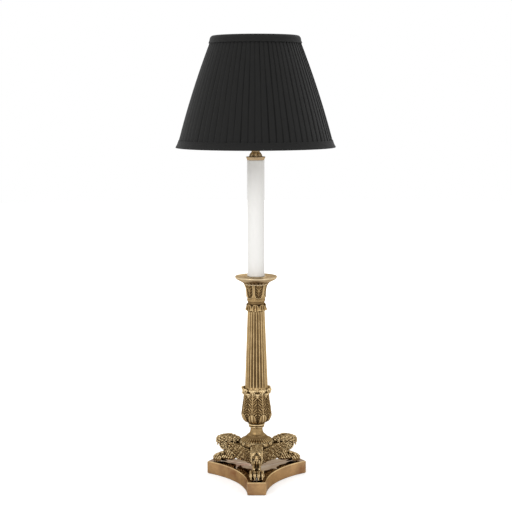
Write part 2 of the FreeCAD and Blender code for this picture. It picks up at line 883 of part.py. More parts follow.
shade_top = shade_bottom + shade_height
cover_inset = pleat_depth + cloth_thickness
frame_inset = cover_inset + cloth_clearance + wire_radius
lining_outer_inset = frame_inset + wire_radius + cloth_clearance
lining_inset = lining_outer_inset + lining_thickness
edge_inset = trim_thickness + cloth_clearance
bottom_wire_level = shade_bottom + edge_inset + wire_radius
top_wire_level = shade_top - edge_inset - wire_radius


def bowed_radius(share):
    """radius at a share of the shade's height: a straight slope with a slight outward bow"""
    straight = shade_bottom_radius + (shade_top_radius - shade_bottom_radius) * share
    return straight + 4 * shade_bow * share * (1 - share)


def shade_radius(height, inset=0):
    """radius of the shade at a height, straight within each of its bands"""
    place = (height - shade_bottom) / shade_height * shade_bands
    band = min(max(int(place), 0), shade_bands - 1)
    low, high = bowed_radius(band / shade_bands), bowed_radius((band + 1) / shade_bands)
    return low + (high - low) * (place - band) - inset


def slope_points(inset, bottom, top):
    """points up the slope of the shade: its two ends and the edges of the bands between them"""
    edges = [shade_bottom + shade_height * k / shade_bands for k in range(1, shade_bands)]
    return [(shade_radius(h, inset), h) for h in [bottom] + edges + [top]]


def shade_cover():
    """pleated cloth, plain on the inside"""
    bottom, top = shade_bottom + edge_inset, shade_top - edge_inset
    levels = [(r, pleat_depth, h, 0) for r, h in slope_points(0, bottom, top)]
    outer = lobed(levels, pleat_lobe_shares, pleat_count, front_angle)
    inside = faceted([round_ring(r, h, pleat_count) for r, h in slope_points(cover_inset, bottom, top)])
    return outer.cut(inside)


def shade_lining():
    bottom, top = shade_bottom + edge_inset, shade_top - edge_inset
    outline = slope_points(lining_outer_inset, bottom, top) + slope_points(lining_inset, bottom, top)[::-1]
    return many_sided(outline, pleat_count).cut(arm_slots())


def top_trim():
    """binding folded over the top edge"""
    low, roof = shade_top - top_trim_height, shade_top - trim_thickness
    inside = lining_inset + cloth_clearance
    outline = [(shade_radius(low) + edge_inset, low), (top_trim_radius, roof), (top_trim_radius - trim_thickness, shade_top)]
    outline += [(shade_radius(shade_top, lining_inset + edge_inset), shade_top)]
    outline += [(shade_radius(low, lining_inset + edge_inset), low), (shade_radius(low, inside), low)]
    outline += [(shade_radius(roof, inside), roof), (top_trim_radius - trim_thickness, roof)]
    return many_sided(outline + [(shade_radius(low) + cloth_clearance, low)], pleat_count)


def bottom_trim():
    """binding folded over the bottom edge and flared outward"""
    high, floor = shade_bottom + bottom_trim_height, shade_bottom + trim_thickness
    inside = lining_inset + cloth_clearance
    outline = [(bottom_trim_radius - trim_thickness, shade_bottom), (bottom_trim_radius, floor)]
    outline += [(shade_radius(high) + edge_inset, high), (shade_radius(high) + cloth_clearance, high)]
    outline += [(bottom_trim_radius - 2 * trim_thickness, floor), (shade_radius(floor, inside), floor)]
    outline += [(shade_radius(high, inside), high), (shade_radius(high, lining_inset + edge_inset), high)]
    outline += [(shade_radius(shade_bottom, lining_inset + edge_inset), shade_bottom)]
    return many_sided(outline, pleat_count).cut(arm_slots())


def wire_ring(level):
    section = oval(V(shade_radius(level, frame_inset), 0, level), V(wire_radius, 0, 0), V(0, 0, wire_radius), wire_sides)
    return many_sided([(point.x, point.z) for point in section], wire_ring_sides)


def bottom_wire_ring():
    return wire_ring(bottom_wire_level)


def top_wire_ring():
    return wire_ring(top_wire_level)


def strut():
    """upright wire between the two rings, in the +X direction"""
    rings = []
    for radius, height in slope_points(frame_inset, bottom_wire_level, top_wire_level):
        rings.append(oval(V(radius, 0, height), V(strut_radius, 0, 0), V(0, strut_radius, 0), wire_sides))
    return faceted(rings).cut([bottom_wire_ring(), top_wire_ring()])


def fitter_ring():
    bore = holder_skirt_radius + thread_clearance + fitter_play
    return tube(fitter_radius, bore, fitter_level, fitter_level + fitter_thickness)


def arm_bar(extra):
    """flat arm from the fitter ring down to the bottom wire, grown by an extra on every side"""
    inner, outer = fitter_radius - arm_thickness, shade_radius(bottom_wire_level, frame_inset)
    bend = fitter_radius + arm_width
    low, high = -extra, arm_thickness + extra
    outline = [V(inner, 0, fitter_level + low), V(bend, 0, fitter_level + low)]
    outline += [V(outer, 0, bottom_wire_level + low), V(outer, 0, bottom_wire_level + high)]
    outline += [V(bend, 0, fitter_level + high), V(inner, 0, fitter_level + high)]
    width = arm_width + 2 * extra
    return flat(outline).extrude(V(0, width, 0)).translated(V(0, -width / 2, 0))


def arm_angle(index):
    return front_angle + full_turn / arm_count / 2 + index * full_turn / arm_count


def arm():
    hub = disc(fitter_radius, fitter_level - overrun, fitter_level + overrun)
    return arm_bar(0).cut([hub, bottom_wire_ring(), strut()])


def arm_slots():
    return [rotated(arm_bar(cloth_clearance), arm_angle(k)) for k in range(arm_count)]


def write(name, shape):
    solid = shape.Solids[0] if len(shape.Solids) == 1 else shape
    solid.exportStep("parts/" + name + ".step")


def main():
    os.makedirs("parts", exist_ok=True)
    makers = (
        base_felt, plinth, cord_bush, leg_screws, winged_hub, bead_ring, gadroon_dome, neck, calyx, fluted_column,
        leaf_collar, capital, drip_pan, candle_sleeve, candle_cap, threaded_rod, base_washer, base_nut,
        holder_base, holder_skirt, holder_insulator, screw_shell, centre_contact,
        bulb_contact, bulb_seal, bulb_cap, bulb_glass, lower_shade_ring, upper_shade_ring,
        shade_cover, shade_lining, top_trim, bottom_trim, bottom_wire_ring, top_wire_ring, fitter_ring,
    )
    for maker in makers:
        write(maker.__name__, maker())
    one_leg = leg()
    for index, name in enumerate(("leg_front", "leg_right", "leg_left")):
        write(name, rotated(one_leg, front_angle + index * full_turn / leg_count))
    one_strut = strut()
    for index in range(strut_count):
        write("strut_" + str(index + 1), rotated(one_strut, front_angle + index * full_turn / strut_count))
    one_arm = arm()
    for index in range(arm_count):
        write("fitter_arm_" + str(index + 1), rotated(one_arm, arm_angle(index)))


main()
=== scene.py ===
import json
import math
import random

import bpy
import numpy as np
from mathutils import Matrix, Vector, noise


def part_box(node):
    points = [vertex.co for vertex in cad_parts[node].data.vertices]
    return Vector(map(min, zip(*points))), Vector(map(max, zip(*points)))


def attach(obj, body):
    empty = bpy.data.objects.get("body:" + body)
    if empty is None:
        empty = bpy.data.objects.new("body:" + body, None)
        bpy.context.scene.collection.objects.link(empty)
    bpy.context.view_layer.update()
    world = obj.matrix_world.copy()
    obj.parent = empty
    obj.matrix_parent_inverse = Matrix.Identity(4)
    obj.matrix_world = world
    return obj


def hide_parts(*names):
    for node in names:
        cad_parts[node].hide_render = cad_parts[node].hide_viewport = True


mm = 0.001
fullTurn = 2 * math.pi

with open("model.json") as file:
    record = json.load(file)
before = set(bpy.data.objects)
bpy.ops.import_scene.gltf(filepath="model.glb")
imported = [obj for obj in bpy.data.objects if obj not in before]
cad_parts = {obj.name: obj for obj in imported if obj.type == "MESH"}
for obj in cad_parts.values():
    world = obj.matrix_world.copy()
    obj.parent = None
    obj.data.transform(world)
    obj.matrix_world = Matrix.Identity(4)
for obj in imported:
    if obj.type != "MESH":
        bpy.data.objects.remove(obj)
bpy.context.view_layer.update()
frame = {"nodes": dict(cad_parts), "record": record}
nodes = frame["nodes"]
print("frame loaded")

# picture: camera, light and floor

view = {"distance": 2.1639, "height": 0.6876, "tiltDown": 7.40, "roll": -0.18, "focalPixels": 1235.0,
        "pictureSize": 512, "sensorWidth": 36.0}
studio = {"skyDiffuse": 0.70, "floorLift": 0.45, "liftNear": 0.15, "liftFar": 1.6, "floorRadius": 6.0,
          "floorSides": 96, "paperGrey": 0.82}
softboxes = {
    "keyLight": {"place": (-1.5, -2.2, 2.0), "aim": (0, 0, 0.35), "size": (1.4, 1.4), "power": 30.0},
    "fillLight": {"place": (2.0, -1.6, 1.2), "aim": (0, 0, 0.35), "size": (1.2, 1.6), "power": 9.0},
    "backLight": {"place": (0.4, 2.2, 2.2), "aim": (0, 0, 0.4), "size": (1.6, 1.2), "power": 6.0},
}


def addCamera():
    data = bpy.data.cameras.new("camera")
    data.sensor_width = view["sensorWidth"]
    data.lens = view["focalPixels"] / view["pictureSize"] * view["sensorWidth"]
    camera = bpy.data.objects.new("camera", data)
    bpy.context.scene.collection.objects.link(camera)
    tilt = Matrix.Rotation(math.radians(90 - view["tiltDown"]), 4, "X")
    roll = Matrix.Rotation(math.radians(view["roll"]), 4, "Z")
    camera.matrix_world = Matrix.Translation((0, -view["distance"], view["height"])) @ tilt @ roll
    bpy.context.scene.camera = camera


def addSoftbox(name, place, aim, size, power):
    data = bpy.data.lights.new(name, "AREA")
    data.shape = "RECTANGLE"
    data.size, data.size_y = size
    data.energy = power
    lamp = bpy.data.objects.new(name, data)
    bpy.context.scene.collection.objects.link(lamp)
    lamp.location = place
    lamp.rotation_euler = (Vector(aim) - Vector(place)).to_track_quat("-Z", "Y").to_euler()


def addNode(tree, kind, inputs=(), **settings):  # a shader node with its settings and its plain or linked inputs
    node = tree.nodes.new(kind)
    for key, value in settings.items():
        setattr(node, key, value)
    for key, value in dict(inputs).items():
        if isinstance(value, bpy.types.NodeSocket):
            tree.links.new(value, node.inputs[key])
        else:
            node.inputs[key].default_value = value
    return node


def seenRay(tree):  # 1 for rays that show a surface straight, in a mirror or through glass
    path = tree.nodes.new("ShaderNodeLightPath").outputs
    seen = path["Is Camera Ray"]
    for ray in ("Is Glossy Ray", "Is Transmission Ray"):
        seen = addNode(tree, "ShaderNodeMath", {0: seen, 1: path[ray]}, operation="MAXIMUM").outputs[0]
    return seen


def addStage():
    world = bpy.data.worlds.new("studio")
    bpy.context.scene.world = world
    world.use_nodes = True
    tree = world.node_tree
    sky = tree.nodes["Background"].inputs
    sky["Color"].default_value = (1, 1, 1, 1)
    strength = {"Value": seenRay(tree), "To Min": studio["skyDiffuse"], "To Max": 1.0}
    tree.links.new(addNode(tree, "ShaderNodeMapRange", strength).outputs["Result"], sky["Strength"])

    bpy.ops.mesh.primitive_circle_add(vertices=studio["floorSides"], radius=studio["floorRadius"], fill_type="NGON")
    floor = bpy.context.active_object
    floor.name = "floor"
    paper = Sheet("floorPaper")
    paper.set(Base_Color=(*[studio["paperGrey"]] * 3, 1), Emission_Color=(1, 1, 1, 1), Roughness=0.9,
              Specular_IOR_Level=0.0)
    away = paper.add("ShaderNodeVectorMath", {0: paper.place}, operation="LENGTH").outputs["Value"]
    # the paper brightens away from the lamp until it meets the sky
    lift = paper.scaled(away, studio["liftNear"], studio["liftFar"], studio["floorLift"], 1.0)
    seen = paper.add("ShaderNodeMath", {0: lift, 1: seenRay(paper.tree)}, operation="MULTIPLY")
    paper.feed(seen.outputs[0], "Emission Strength")
    floor.data.materials.append(paper.material)


# modelling by hand: selection, editing and joining


def clearSelection():
    if bpy.context.mode != "OBJECT":
        bpy.ops.object.mode_set(mode="OBJECT")
    bpy.ops.object.select_all(action="DESELECT")


def pick(piece):
    clearSelection()
    piece.select_set(True)
    bpy.context.view_layer.objects.active = piece


def editAll(piece, *steps):  # editing steps on the whole mesh
    pick(piece)
    bpy.ops.object.mode_set(mode="EDIT")
    bpy.ops.mesh.select_all(action="SELECT")
    for step in steps:
        step()
    bpy.ops.object.mode_set(mode="OBJECT")


def finishModifiers(piece):
    pick(piece)
    for modifier in list(piece.modifiers):
        bpy.ops.object.modifier_apply(modifier=modifier.name)


def smooth(piece):
    pick(piece)
    bpy.ops.object.shade_smooth()


def shadeByAngle(piece, degrees):
    pick(piece)
    bpy.ops.object.shade_smooth_by_angle(angle=math.radians(degrees))


def closeUp(piece, gap=1e-6):  # merges doubles and turns every face outwards
    editAll(piece, lambda: bpy.ops.mesh.remove_doubles(threshold=gap),
            lambda: bpy.ops.mesh.normals_make_consistent(inside=False))


def roundEdges(piece, width, angle):  # flat faces made whole, then small rounded edges
    editAll(piece, lambda: bpy.ops.mesh.dissolve_limited(angle_limit=math.radians(1)))
    bevel = piece.modifiers.new("edges", "BEVEL")
    bevel.width = width * mm
    bevel.segments = 2
    bevel.limit_method = "ANGLE"
    bevel.angle_limit = math.radians(angle)
    finishModifiers(piece)


def joinAll(name, pieces):
    clearSelection()
    for piece in pieces:
        piece.select_set(True)
    bpy.context.view_layer.objects.active = pieces[0]
    bpy.ops.object.join()
    pieces[0].name = name
    return pieces[0]


def copyTurned(piece, degrees, name=None):  # a copy with its own mesh, turned round the lamp's axis
    twin = piece.copy()
    twin.data = piece.data.copy()
    bpy.context.scene.collection.objects.link(twin)
    twin.data.transform(Matrix.Rotation(math.radians(degrees), 4, "Z"))
    if name:
        twin.name = name
    return twin


def copyOf(node, name):  # a merged copy of a CAD node, to work on
    piece = nodes[node].copy()
    piece.data = nodes[node].data.copy()
    piece.name = name
    bpy.context.scene.collection.objects.link(piece)
    piece.hide_render = False
    closeUp(piece, 2e-6)
    return piece


# lines, turnings, tubes and lumps, all in millimetres


def levels(node):  # the heights of a CAD node's foot and top
    return tuple(corner.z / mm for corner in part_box(node))


def smoothLine(points, steps=4):  # a rounded line through given points
    ends = [points[0]] + list(points) + [points[-1]]
    line = []
    for a, b, c, d in zip(ends, ends[1:], ends[2:], ends[3:]):
        for k in range(steps):
            t = k / steps
            line.append(tuple(0.5 * (2 * b[i] + (c[i] - a[i]) * t + (2 * a[i] - 5 * b[i] + 4 * c[i] - d[i]) * t * t
                                     + (3 * b[i] - a[i] - 3 * c[i] + d[i]) * t ** 3) for i in range(len(b))))
    return line + [tuple(points[-1])]


def spinLine(name, line, sides):  # turns a closed line of (radius, height) round the axis
    clearSelection()
    bpy.ops.mesh.primitive_plane_add(size=mm)
    piece = bpy.context.active_object
    piece.name = name
    bpy.ops.object.mode_set(mode="EDIT")
    bpy.ops.mesh.select_all(action="SELECT")
    bpy.ops.mesh.merge(type="CENTER")
    bpy.ops.transform.translate(value=(line[0][0] * mm, 0, line[0][1] * mm))
    for (r, z), (nextR, nextZ) in zip(line, line[1:] + line[:1]):
        bpy.ops.mesh.extrude_region_move(TRANSFORM_OT_translate={"value": ((nextR - r) * mm, 0, (nextZ - z) * mm)})
    bpy.ops.mesh.select_all(action="SELECT")
    bpy.ops.mesh.spin(steps=sides, angle=fullTurn, center=(0, 0, 0), axis=(0, 0, 1))
    bpy.ops.object.mode_set(mode="OBJECT")
    closeUp(piece)
    smooth(piece)
    return piece


stemBore = 5.4  # radius of the hole for the rod


def raised(shape, foot):  # a piece's outline, rounded, with its heights over a foot
    return smoothLine([(r, foot + h) for r, h in shape["line"]], shape["steps"])


def boredTurning(name, shape, foot, top=None, lift=0.0):  # a turning with the hole for the rod
    outer = raised(shape, foot)
    ends = (foot + lift, outer[-1][1] if top is None else top)
    return spinLine(name, [(stemBore, ends[0])] + outer + [(stemBore, ends[1])], shape["sides"])


def tube(name, points, radii, sides=6):  # closed tapering tube through points
    data = bpy.data.curves.new(name, "CURVE")
    data.dimensions = "3D"
    data.bevel_depth = mm
    data.bevel_resolution = max(sides // 4, 1)
    data.use_fill_caps = True
    data.resolution_u = 3
    spline = data.splines.new("NURBS")
    spline.points.add(len(points) - 1)
    for point, place, radius in zip(spline.points, points, radii):
        point.co = (place[0] * mm, place[1] * mm, place[2] * mm, 1)
        point.radius = radius
    spline.order_u = 3
    spline.use_endpoint_u = True
    piece = bpy.data.objects.new(name, data)
    bpy.context.scene.collection.objects.link(piece)
    pick(piece)
    bpy.ops.object.convert(target="MESH")
    return bpy.context.active_object


def blob(name, place, size, turn=(0, 0, 0), segments=12):  # rounded lump, a ball stretched and turned
    clearSelection()
    bpy.ops.mesh.primitive_uv_sphere_add(segments=segments, ring_count=segments // 2 + 2, radius=mm)
    piece = bpy.context.active_object
    piece.name = name
    pose = Matrix.Translation(Vector(place) * mm)
    for axis, angle in zip("ZYX", reversed(turn)):
        pose = pose @ Matrix.Rotation(angle, 4, axis)
    piece.data.transform(pose @ Matrix.Diagonal((*size, 1)))
    return piece


def castTogether(piece, voxel, smoothing):  # melts joined lumps into one casting
    remesh = piece.modifiers.new("melt", "REMESH")
    remesh.mode = "VOXEL"
    remesh.voxel_size = voxel * mm
    soften = piece.modifiers.new("soften", "SMOOTH")
    soften.factor = 0.5
    soften.iterations = smoothing
    finishModifiers(piece)
    smooth(piece)


# reliefs, and how worn each point is: 0 in the hollows, 1 on the crests


def ease(value, low, high):  # 0 below low, 1 above high, soft between
    t = min(max((value - low) / (high - low), 0.0), 1.0)
    return t * t * (3 - 2 * t)


def window(value, low, rise, fall, high):  # 1 from rise to fall, 0 outside low and high
    return ease(value, low, rise) * (1 - ease(value, fall, high))


def ridge(value, width):
    return math.exp(-(value / width) ** 2)


def wave(turns):
    return math.cos(fullTurn * turns)


def lobe(angle, count, phase):  # place within the nearest of evenly spaced lobes, from -1 to 1
    pitch = 360.0 / count
    return ((angle - phase + pitch / 2) % pitch - pitch / 2) / (pitch / 2)


def readPoints(piece):  # places and normals of a mesh's points
    count = len(piece.data.vertices)
    places, normals = np.empty(count * 3), np.empty(count * 3)
    piece.data.vertices.foreach_get("co", places)
    piece.data.vertices.foreach_get("normal", normals)
    return places.reshape(-1, 3) / mm, normals.reshape(-1, 3)


def writePoints(piece, places):
    piece.data.vertices.foreach_set("co", (places * mm).ravel())
    piece.data.update()


def writeWear(piece, values):
    old = piece.data.attributes.get("wear")
    if old:
        piece.data.attributes.remove(old)
    layer = piece.data.attributes.new("wear", "FLOAT", "POINT")
    layer.data.foreach_set("value", np.clip(np.asarray(values, dtype=np.float32), 0, 1))


def markWear(piece, passes, span, middle):  # wear by how far a point stands over its smoothed surroundings
    places, normals = readPoints(piece)
    count = len(places)
    ends = np.empty(len(piece.data.edges) * 2, dtype=np.int64)
    piece.data.edges.foreach_get("vertices", ends)
    first, second = ends.reshape(-1, 2).T
    degree = np.maximum(np.bincount(ends, minlength=count), 1)[:, None]
    soft = places.copy()
    for _ in range(passes):
        total = np.zeros_like(soft)
        for axis in range(3):
            total[:, axis] = (np.bincount(first, soft[second, axis], count)
                              + np.bincount(second, soft[first, axis], count))
        soft = (soft + total / degree) / 2
    writeWear(piece, middle + 0.5 * ((places - soft) * normals).sum(1) / span)


def carve(piece, relief, innerRadius, wearRange=None):  # moves the points outside a radius by a relief
    wear = []
    for vertex in piece.data.vertices:
        radius = math.hypot(vertex.co.x, vertex.co.y) / mm
        share = 0.4
        if radius > innerRadius:
            angle = math.degrees(math.atan2(vertex.co.y, vertex.co.x))
            out, up, *worn = relief(angle, vertex.co.z / mm, radius)
            vertex.co.x *= 1 + out / radius
            vertex.co.y *= 1 + out / radius
            vertex.co.z += up * mm
            if wearRange:
                share = worn[0] if worn else (out - wearRange[0]) / (wearRange[1] - wearRange[0])
        wear.append(share)
    if wearRange:
        writeWear(piece, wear)


# finishes


class Sheet:  # a material's node tree, with short ways to add to it
    def __init__(self, name):
        self.material = bpy.data.materials.new(name)
        self.material.use_nodes = True
        self.tree = self.material.node_tree
        self.shader = self.tree.nodes["Principled BSDF"]
        self.place = self.add("ShaderNodeTexCoord").outputs["Object"]

    def add(self, kind, inputs=(), **settings):
        return addNode(self.tree, kind, inputs, **settings)

    def feed(self, source, name):  # links a socket to the shader
        self.tree.links.new(source, self.shader.inputs[name])

    def set(self, **values):
        for key, value in values.items():
            self.shader.inputs[key.replace("_", " ")].default_value = value

    def noise(self, scale, detail=4.0, roughness=0.55, stretch=(1, 1, 1)):
        place = self.add("ShaderNodeMapping", {"Vector": self.place, "Scale": stretch}).outputs["Vector"]
        inputs = {"Vector": place, "Scale": scale, "Detail": detail, "Roughness": roughness}
        return self.add("ShaderNodeTexNoise", inputs).outputs["Fac"]

    def ramp(self, source, stops):
        node = self.add("ShaderNodeValToRGB", {"Fac": source})
        while len(node.color_ramp.elements) < len(stops):
            node.color_ramp.elements.new(0.5)
        for element, (place, colour) in zip(node.color_ramp.elements, stops):
            element.position = place
            element.color = (*colour, 1)
        return node.outputs["Color"]

    def greys(self, source, low, dark, high, light):  # a ramp between two greys
        return self.ramp(source, [(low, [dark] * 3), (high, [light] * 3)])

    def scaled(self, source, fromLow, fromHigh, low, high):
        inputs = {"Value": source, "From Min": fromLow, "From Max": fromHigh, "To Min": low, "To Max": high}
        return self.add("ShaderNodeMapRange", inputs).outputs["Result"]

    def plus(self, source, weight, other):  # source times weight, plus other
        return self.add("ShaderNodeMath", {0: source, 1: weight, 2: other}, operation="MULTIPLY_ADD").outputs[0]

    def times(self, first, second, share=1.0):
        inputs = {"Factor": share, "A": first, "B": second}
        return self.add("ShaderNodeMix", inputs, data_type="RGBA", blend_type="MULTIPLY").outputs["Result"]

    def occlusionShade(self, reach):  # ambient occlusion, used as painted shade: 1 in the open, less in hollows and where parts meet
        return self.add("ShaderNodeAmbientOcclusion", {"Distance": reach * mm}, samples=8).outputs["AO"]

    def value(self, name):  # a point attribute of the mesh
        return self.add("ShaderNodeAttribute", attribute_name=name).outputs["Fac"]

    def bump(self, source, strength, distance):
        normal = self.shader.inputs["Normal"]
        node = self.add("ShaderNodeBump", {"Height": source, "Strength": strength, "Distance": distance * mm})
        if normal.is_linked:
            self.tree.links.new(normal.links[0].from_socket, node.inputs["Normal"])
        self.tree.links.new(node.outputs["Normal"], normal)


def dimmed(colour, *shares):
    return [c * share for c, share in zip(colour, shares * 3 if len(shares) == 1 else shares)]


bronze = {
    "recess": (0.026, 0.014, 0.005), "umber": (0.088, 0.052, 0.021), "body": (0.215, 0.138, 0.060),
    "gold": (0.385, 0.265, 0.125), "worn": (0.64, 0.49, 0.275),
    "paintedShadeReach": 9.0, "patchScale": 60.0, "castGrain": 1400.0, "speckleShare": 0.34, "patchShare": 0.26,
}
wearStops = {"recess": 0.02, "umber": 0.24, "body": 0.48, "gold": 0.68, "worn": 0.90}


def castBronze(name, tones=bronze, roughLow=0.26, roughHigh=0.62, grain=0.25):  # gilding worn bright on the crests, with painted shade in the hollows
    sheet = Sheet(name)
    patches = sheet.noise(tones["patchScale"], 5.0)
    speckle = sheet.noise(620.0, 3.0, 0.7)  # specks and patches break up the edge of the wear
    uneven = sheet.plus(speckle, tones["speckleShare"], sheet.value("wear"))
    level = sheet.scaled(sheet.plus(patches, tones["patchShare"], uneven), 0.30, 1.30, 0.0, 1.0)
    tone = sheet.ramp(level, [(place, tones[key]) for key, place in wearStops.items()])
    # painted shade: ambient occlusion darkens the colour in hollows and where parts meet
    paintedShade = sheet.scaled(sheet.occlusionShade(tones["paintedShadeReach"]), 0.15, 0.80, 0.22, 1.0)
    sheet.feed(sheet.times(tone, paintedShade), "Base Color")
    sheet.feed(sheet.scaled(level, 0.15, 0.85, roughHigh, roughLow), "Roughness")
    sheet.bump(sheet.noise(tones["castGrain"], 2.0, 0.6), grain, 0.08)
    sheet.bump(sheet.noise(170.0, 3.0), 0.22, 0.35)
    sheet.set(Metallic=1.0, Specular_Tint=(0.74, 0.63, 0.49, 1))
    return sheet.material


# painted light: the edge copy is brighter, a painted highlight on the rounded edges; the top copy is paler and
# greyer, in part a painted reflection
plinthTones = {"side": (0.365, 0.222, 0.104), "edge": (0.66, 0.47, 0.24), "top": (0.40, 0.315, 0.245)}


def brushedBronze(name, colour, roughness, streaks):  # lacquered bronze with fine level brush lines
    sheet = Sheet(name)
    lines = sheet.noise(240.0, 6.0, 0.7, (0.6, 0.6, 9.0))
    clouds = sheet.noise(24.0, 6.0, 0.62)
    rusty = dimmed(colour, 0.66, 0.50, 0.50)
    dull = dimmed(colour, 0.84, 0.80, 0.84)
    tone = sheet.ramp(clouds, [(0.35, rusty), (0.44, dull), (0.53, colour), (0.68, dimmed(colour, 1.30))])
    sheet.feed(sheet.times(tone, sheet.greys(lines, 0.35, 0.80, 0.65, 1.0), streaks), "Base Color")
    sheet.feed(sheet.scaled(lines, 0.3, 0.7, roughness * 0.85, roughness * 1.2), "Roughness")
    sheet.bump(lines, 0.10 * streaks, 0.1)
    sheet.set(Metallic=1.0, Specular_Tint=(0.62, 0.55, 0.46, 1))
    return sheet.material


def plainMetal(name, colour, roughness, stretch=(1, 1, 6)):  # plain turned or rolled metal with a fine lay
    sheet = Sheet(name)
    lay = sheet.noise(500.0, 3.0, 0.6, stretch)
    stain = sheet.noise(90.0, 4.0)
    sheet.feed(sheet.ramp(stain, [(0.3, dimmed(colour, 0.82)), (0.7, colour)]), "Base Color")
    sheet.feed(sheet.scaled(lay, 0.3, 0.7, roughness * 0.8, roughness * 1.25), "Roughness")
    sheet.bump(lay, 0.12, 0.05)
    sheet.set(Metallic=1.0)
    return sheet.material


def moulded(name, colour, roughness, grain=0.08, gloss=0.5, patch=0.9):  # plastic, enamel, ceramic or rubber
    sheet = Sheet(name)
    clouds = sheet.noise(45.0, 4.0)
    pores = sheet.noise(1600.0, 2.0, 0.6)
    sheet.feed(sheet.ramp(clouds, [(0.3, dimmed(colour, patch)), (0.7, colour)]), "Base Color")
    sheet.feed(sheet.scaled(clouds, 0.3, 0.7, roughness * 0.85, roughness * 1.15), "Roughness")
    sheet.bump(pores, grain, 0.05)
    sheet.set(Specular_IOR_Level=gloss)
    return sheet.material


silk = {"thread": (0.0118, 0.0118, 0.0114), "gap": (0.0062, 0.0062, 0.0060), "threadsPerMetre": 2600.0}
liningCloth = {"thread": (0.74, 0.69, 0.58), "gap": (0.60, 0.55, 0.45), "threadsPerMetre": 2000.0}


def wovenCloth(name, tones, rough=0.85, sheen=0.10):  # plain weave that follows the cloth's own UV map
    sheet = Sheet(name)
    thread = {"Vector": sheet.add("ShaderNodeTexCoord").outputs["UV"],
              "Scale": tones["threadsPerMetre"] / 2 / math.pi,
              "Distortion": 1.2, "Detail": 1.0, "Detail Scale": 30.0}
    over, under = (sheet.add("ShaderNodeTexWave", thread, wave_type="BANDS", bands_direction=way,
                             wave_profile="SIN").outputs["Fac"] for way in "XY")
    crossing = sheet.add("ShaderNodeMath", {0: over, 1: under}, operation="MAXIMUM").outputs[0]
    slub = sheet.noise(70.0, 5.0, 0.6)
    weave = sheet.ramp(crossing, [(0.2, tones["gap"]), (0.8, tones["thread"])])
    depth = sheet.greys(sheet.occlusionShade(4.5), 0.42, 0.22, 0.88, 1.0)  # painted shade: ambient occlusion darkens the colour deep inside the folds
    # painted shade: the crease mask darkens the pleats' tucks and valleys
    creaseShade = sheet.greys(sheet.value("creaseShadeMask"), 0.15, 1.0, 0.95, 0.20)
    faded = sheet.times(weave, sheet.greys(slub, 0.3, 0.86, 0.7, 1.0))
    sheet.feed(sheet.times(sheet.times(faded, creaseShade), depth), "Base Color")
    sheet.bump(crossing, 0.30, 0.12)
    sheet.bump(slub, 0.12, 0.4)
    sheet.set(Roughness=rough, Sheen_Weight=sheen, Sheen_Roughness=0.5, Specular_IOR_Level=0.18)
    return sheet.material


def frostedGlass(name):
    sheet = Sheet(name)
    frost = sheet.noise(900.0, 2.0)
    sheet.feed(sheet.scaled(frost, 0.3, 0.7, 0.30, 0.42), "Roughness")
    sheet.feed(sheet.ramp(frost, [(0.3, (0.90, 0.90, 0.88)), (0.7, (0.97, 0.97, 0.95))]), "Base Color")
    sheet.bump(frost, 0.05, 0.03)
    sheet.set(Transmission_Weight=0.85, IOR=1.45)
    return sheet.material


# painted reflection: a paler, greyer copy of the gilt bronze for the drip pan and the candle cap, standing for the
# white surroundings they mirror
paleReflectedTones = dict(bronze, body=(0.30, 0.215, 0.128), gold=(0.47, 0.365, 0.225), worn=(0.68, 0.565, 0.39),
                 paintedShadeReach=5.0)
fluteTones = dict(bronze, umber=(0.12, 0.075, 0.033), body=(0.26, 0.172, 0.080), paintedShadeReach=3.0)
finishes = {
    "gilt": castBronze("giltBronze"),
    "giltPaleReflection": castBronze("giltRimsReflection", paleReflectedTones, 0.24, 0.50, 0.15),
    "column": castBronze("giltFlutes", fluteTones, 0.24, 0.50, 0.15),
    "plinthSide": brushedBronze("plinthSide", plinthTones["side"], 0.42, 0.9),
    # painted highlight on the rounded edges
    "plinthEdgeHighlight": brushedBronze("plinthEdgeHighlight", plinthTones["edge"], 0.24, 0.4),
    # partly painted reflection: the polished top's paler, greyer colour stands for the surroundings it mirrors
    "plinthTopReflection": brushedBronze("plinthTopReflection", plinthTones["top"], 0.07, 0.15),
    "ivory": moulded("ivoryEnamel", (0.915, 0.903, 0.876), 0.42, 0.05, 0.40, 0.985),
    "cloth": wovenCloth("pleatedSilk", silk),
    "lining": wovenCloth("liningCloth", liningCloth, 0.8, 0.1),
    "frame": moulded("whiteWirePaint", (0.78, 0.77, 0.74), 0.35, 0.10),
    "ring": moulded("blackRing", (0.022, 0.022, 0.023), 0.40, 0.12),
    "brass": plainMetal("holderBrass", (0.50, 0.355, 0.165), 0.36),
    "steel": plainMetal("zincSteel", (0.58, 0.58, 0.56), 0.32),
    "nickel": plainMetal("bulbNickel", (0.44, 0.43, 0.41), 0.34),
    "ceramic": moulded("glazedCeramic", (0.80, 0.78, 0.73), 0.18, 0.03),
    "seal": moulded("blackSeal", (0.02, 0.02, 0.02), 0.15, 0.02),
    "rubber": moulded("blackRubber", (0.025, 0.025, 0.025), 0.65, 0.2, 0.3),
    "felt": moulded("brownFelt", (0.055, 0.042, 0.034), 0.95, 0.9, 0.1),
    "glass": frostedGlass("frostedGlass"),
}
slotFinish = {
    "felt": "felt", "plinth_bronze": "plinthSide", "gilt_bronze": "gilt", "candle_ivory": "ivory",
    "holder_brass": "brass", "steel": "steel", "rubber_black": "rubber", "ceramic_white": "ceramic",
    "bulb_nickel": "nickel", "seal_black": "seal", "bulb_glass": "glass", "ring_black": "ring",
    "shade_cloth": "cloth", "lining_ivory": "lining", "frame_wire": "frame",
}
bodies = frame["record"]["behaviour"]["bodies"]
nodeBody = {name: body for body, names in bodies.items() for name in names}
nodeSlot = {part["node"]: part["material_slot"] for part in frame["record"]["subparts"]}
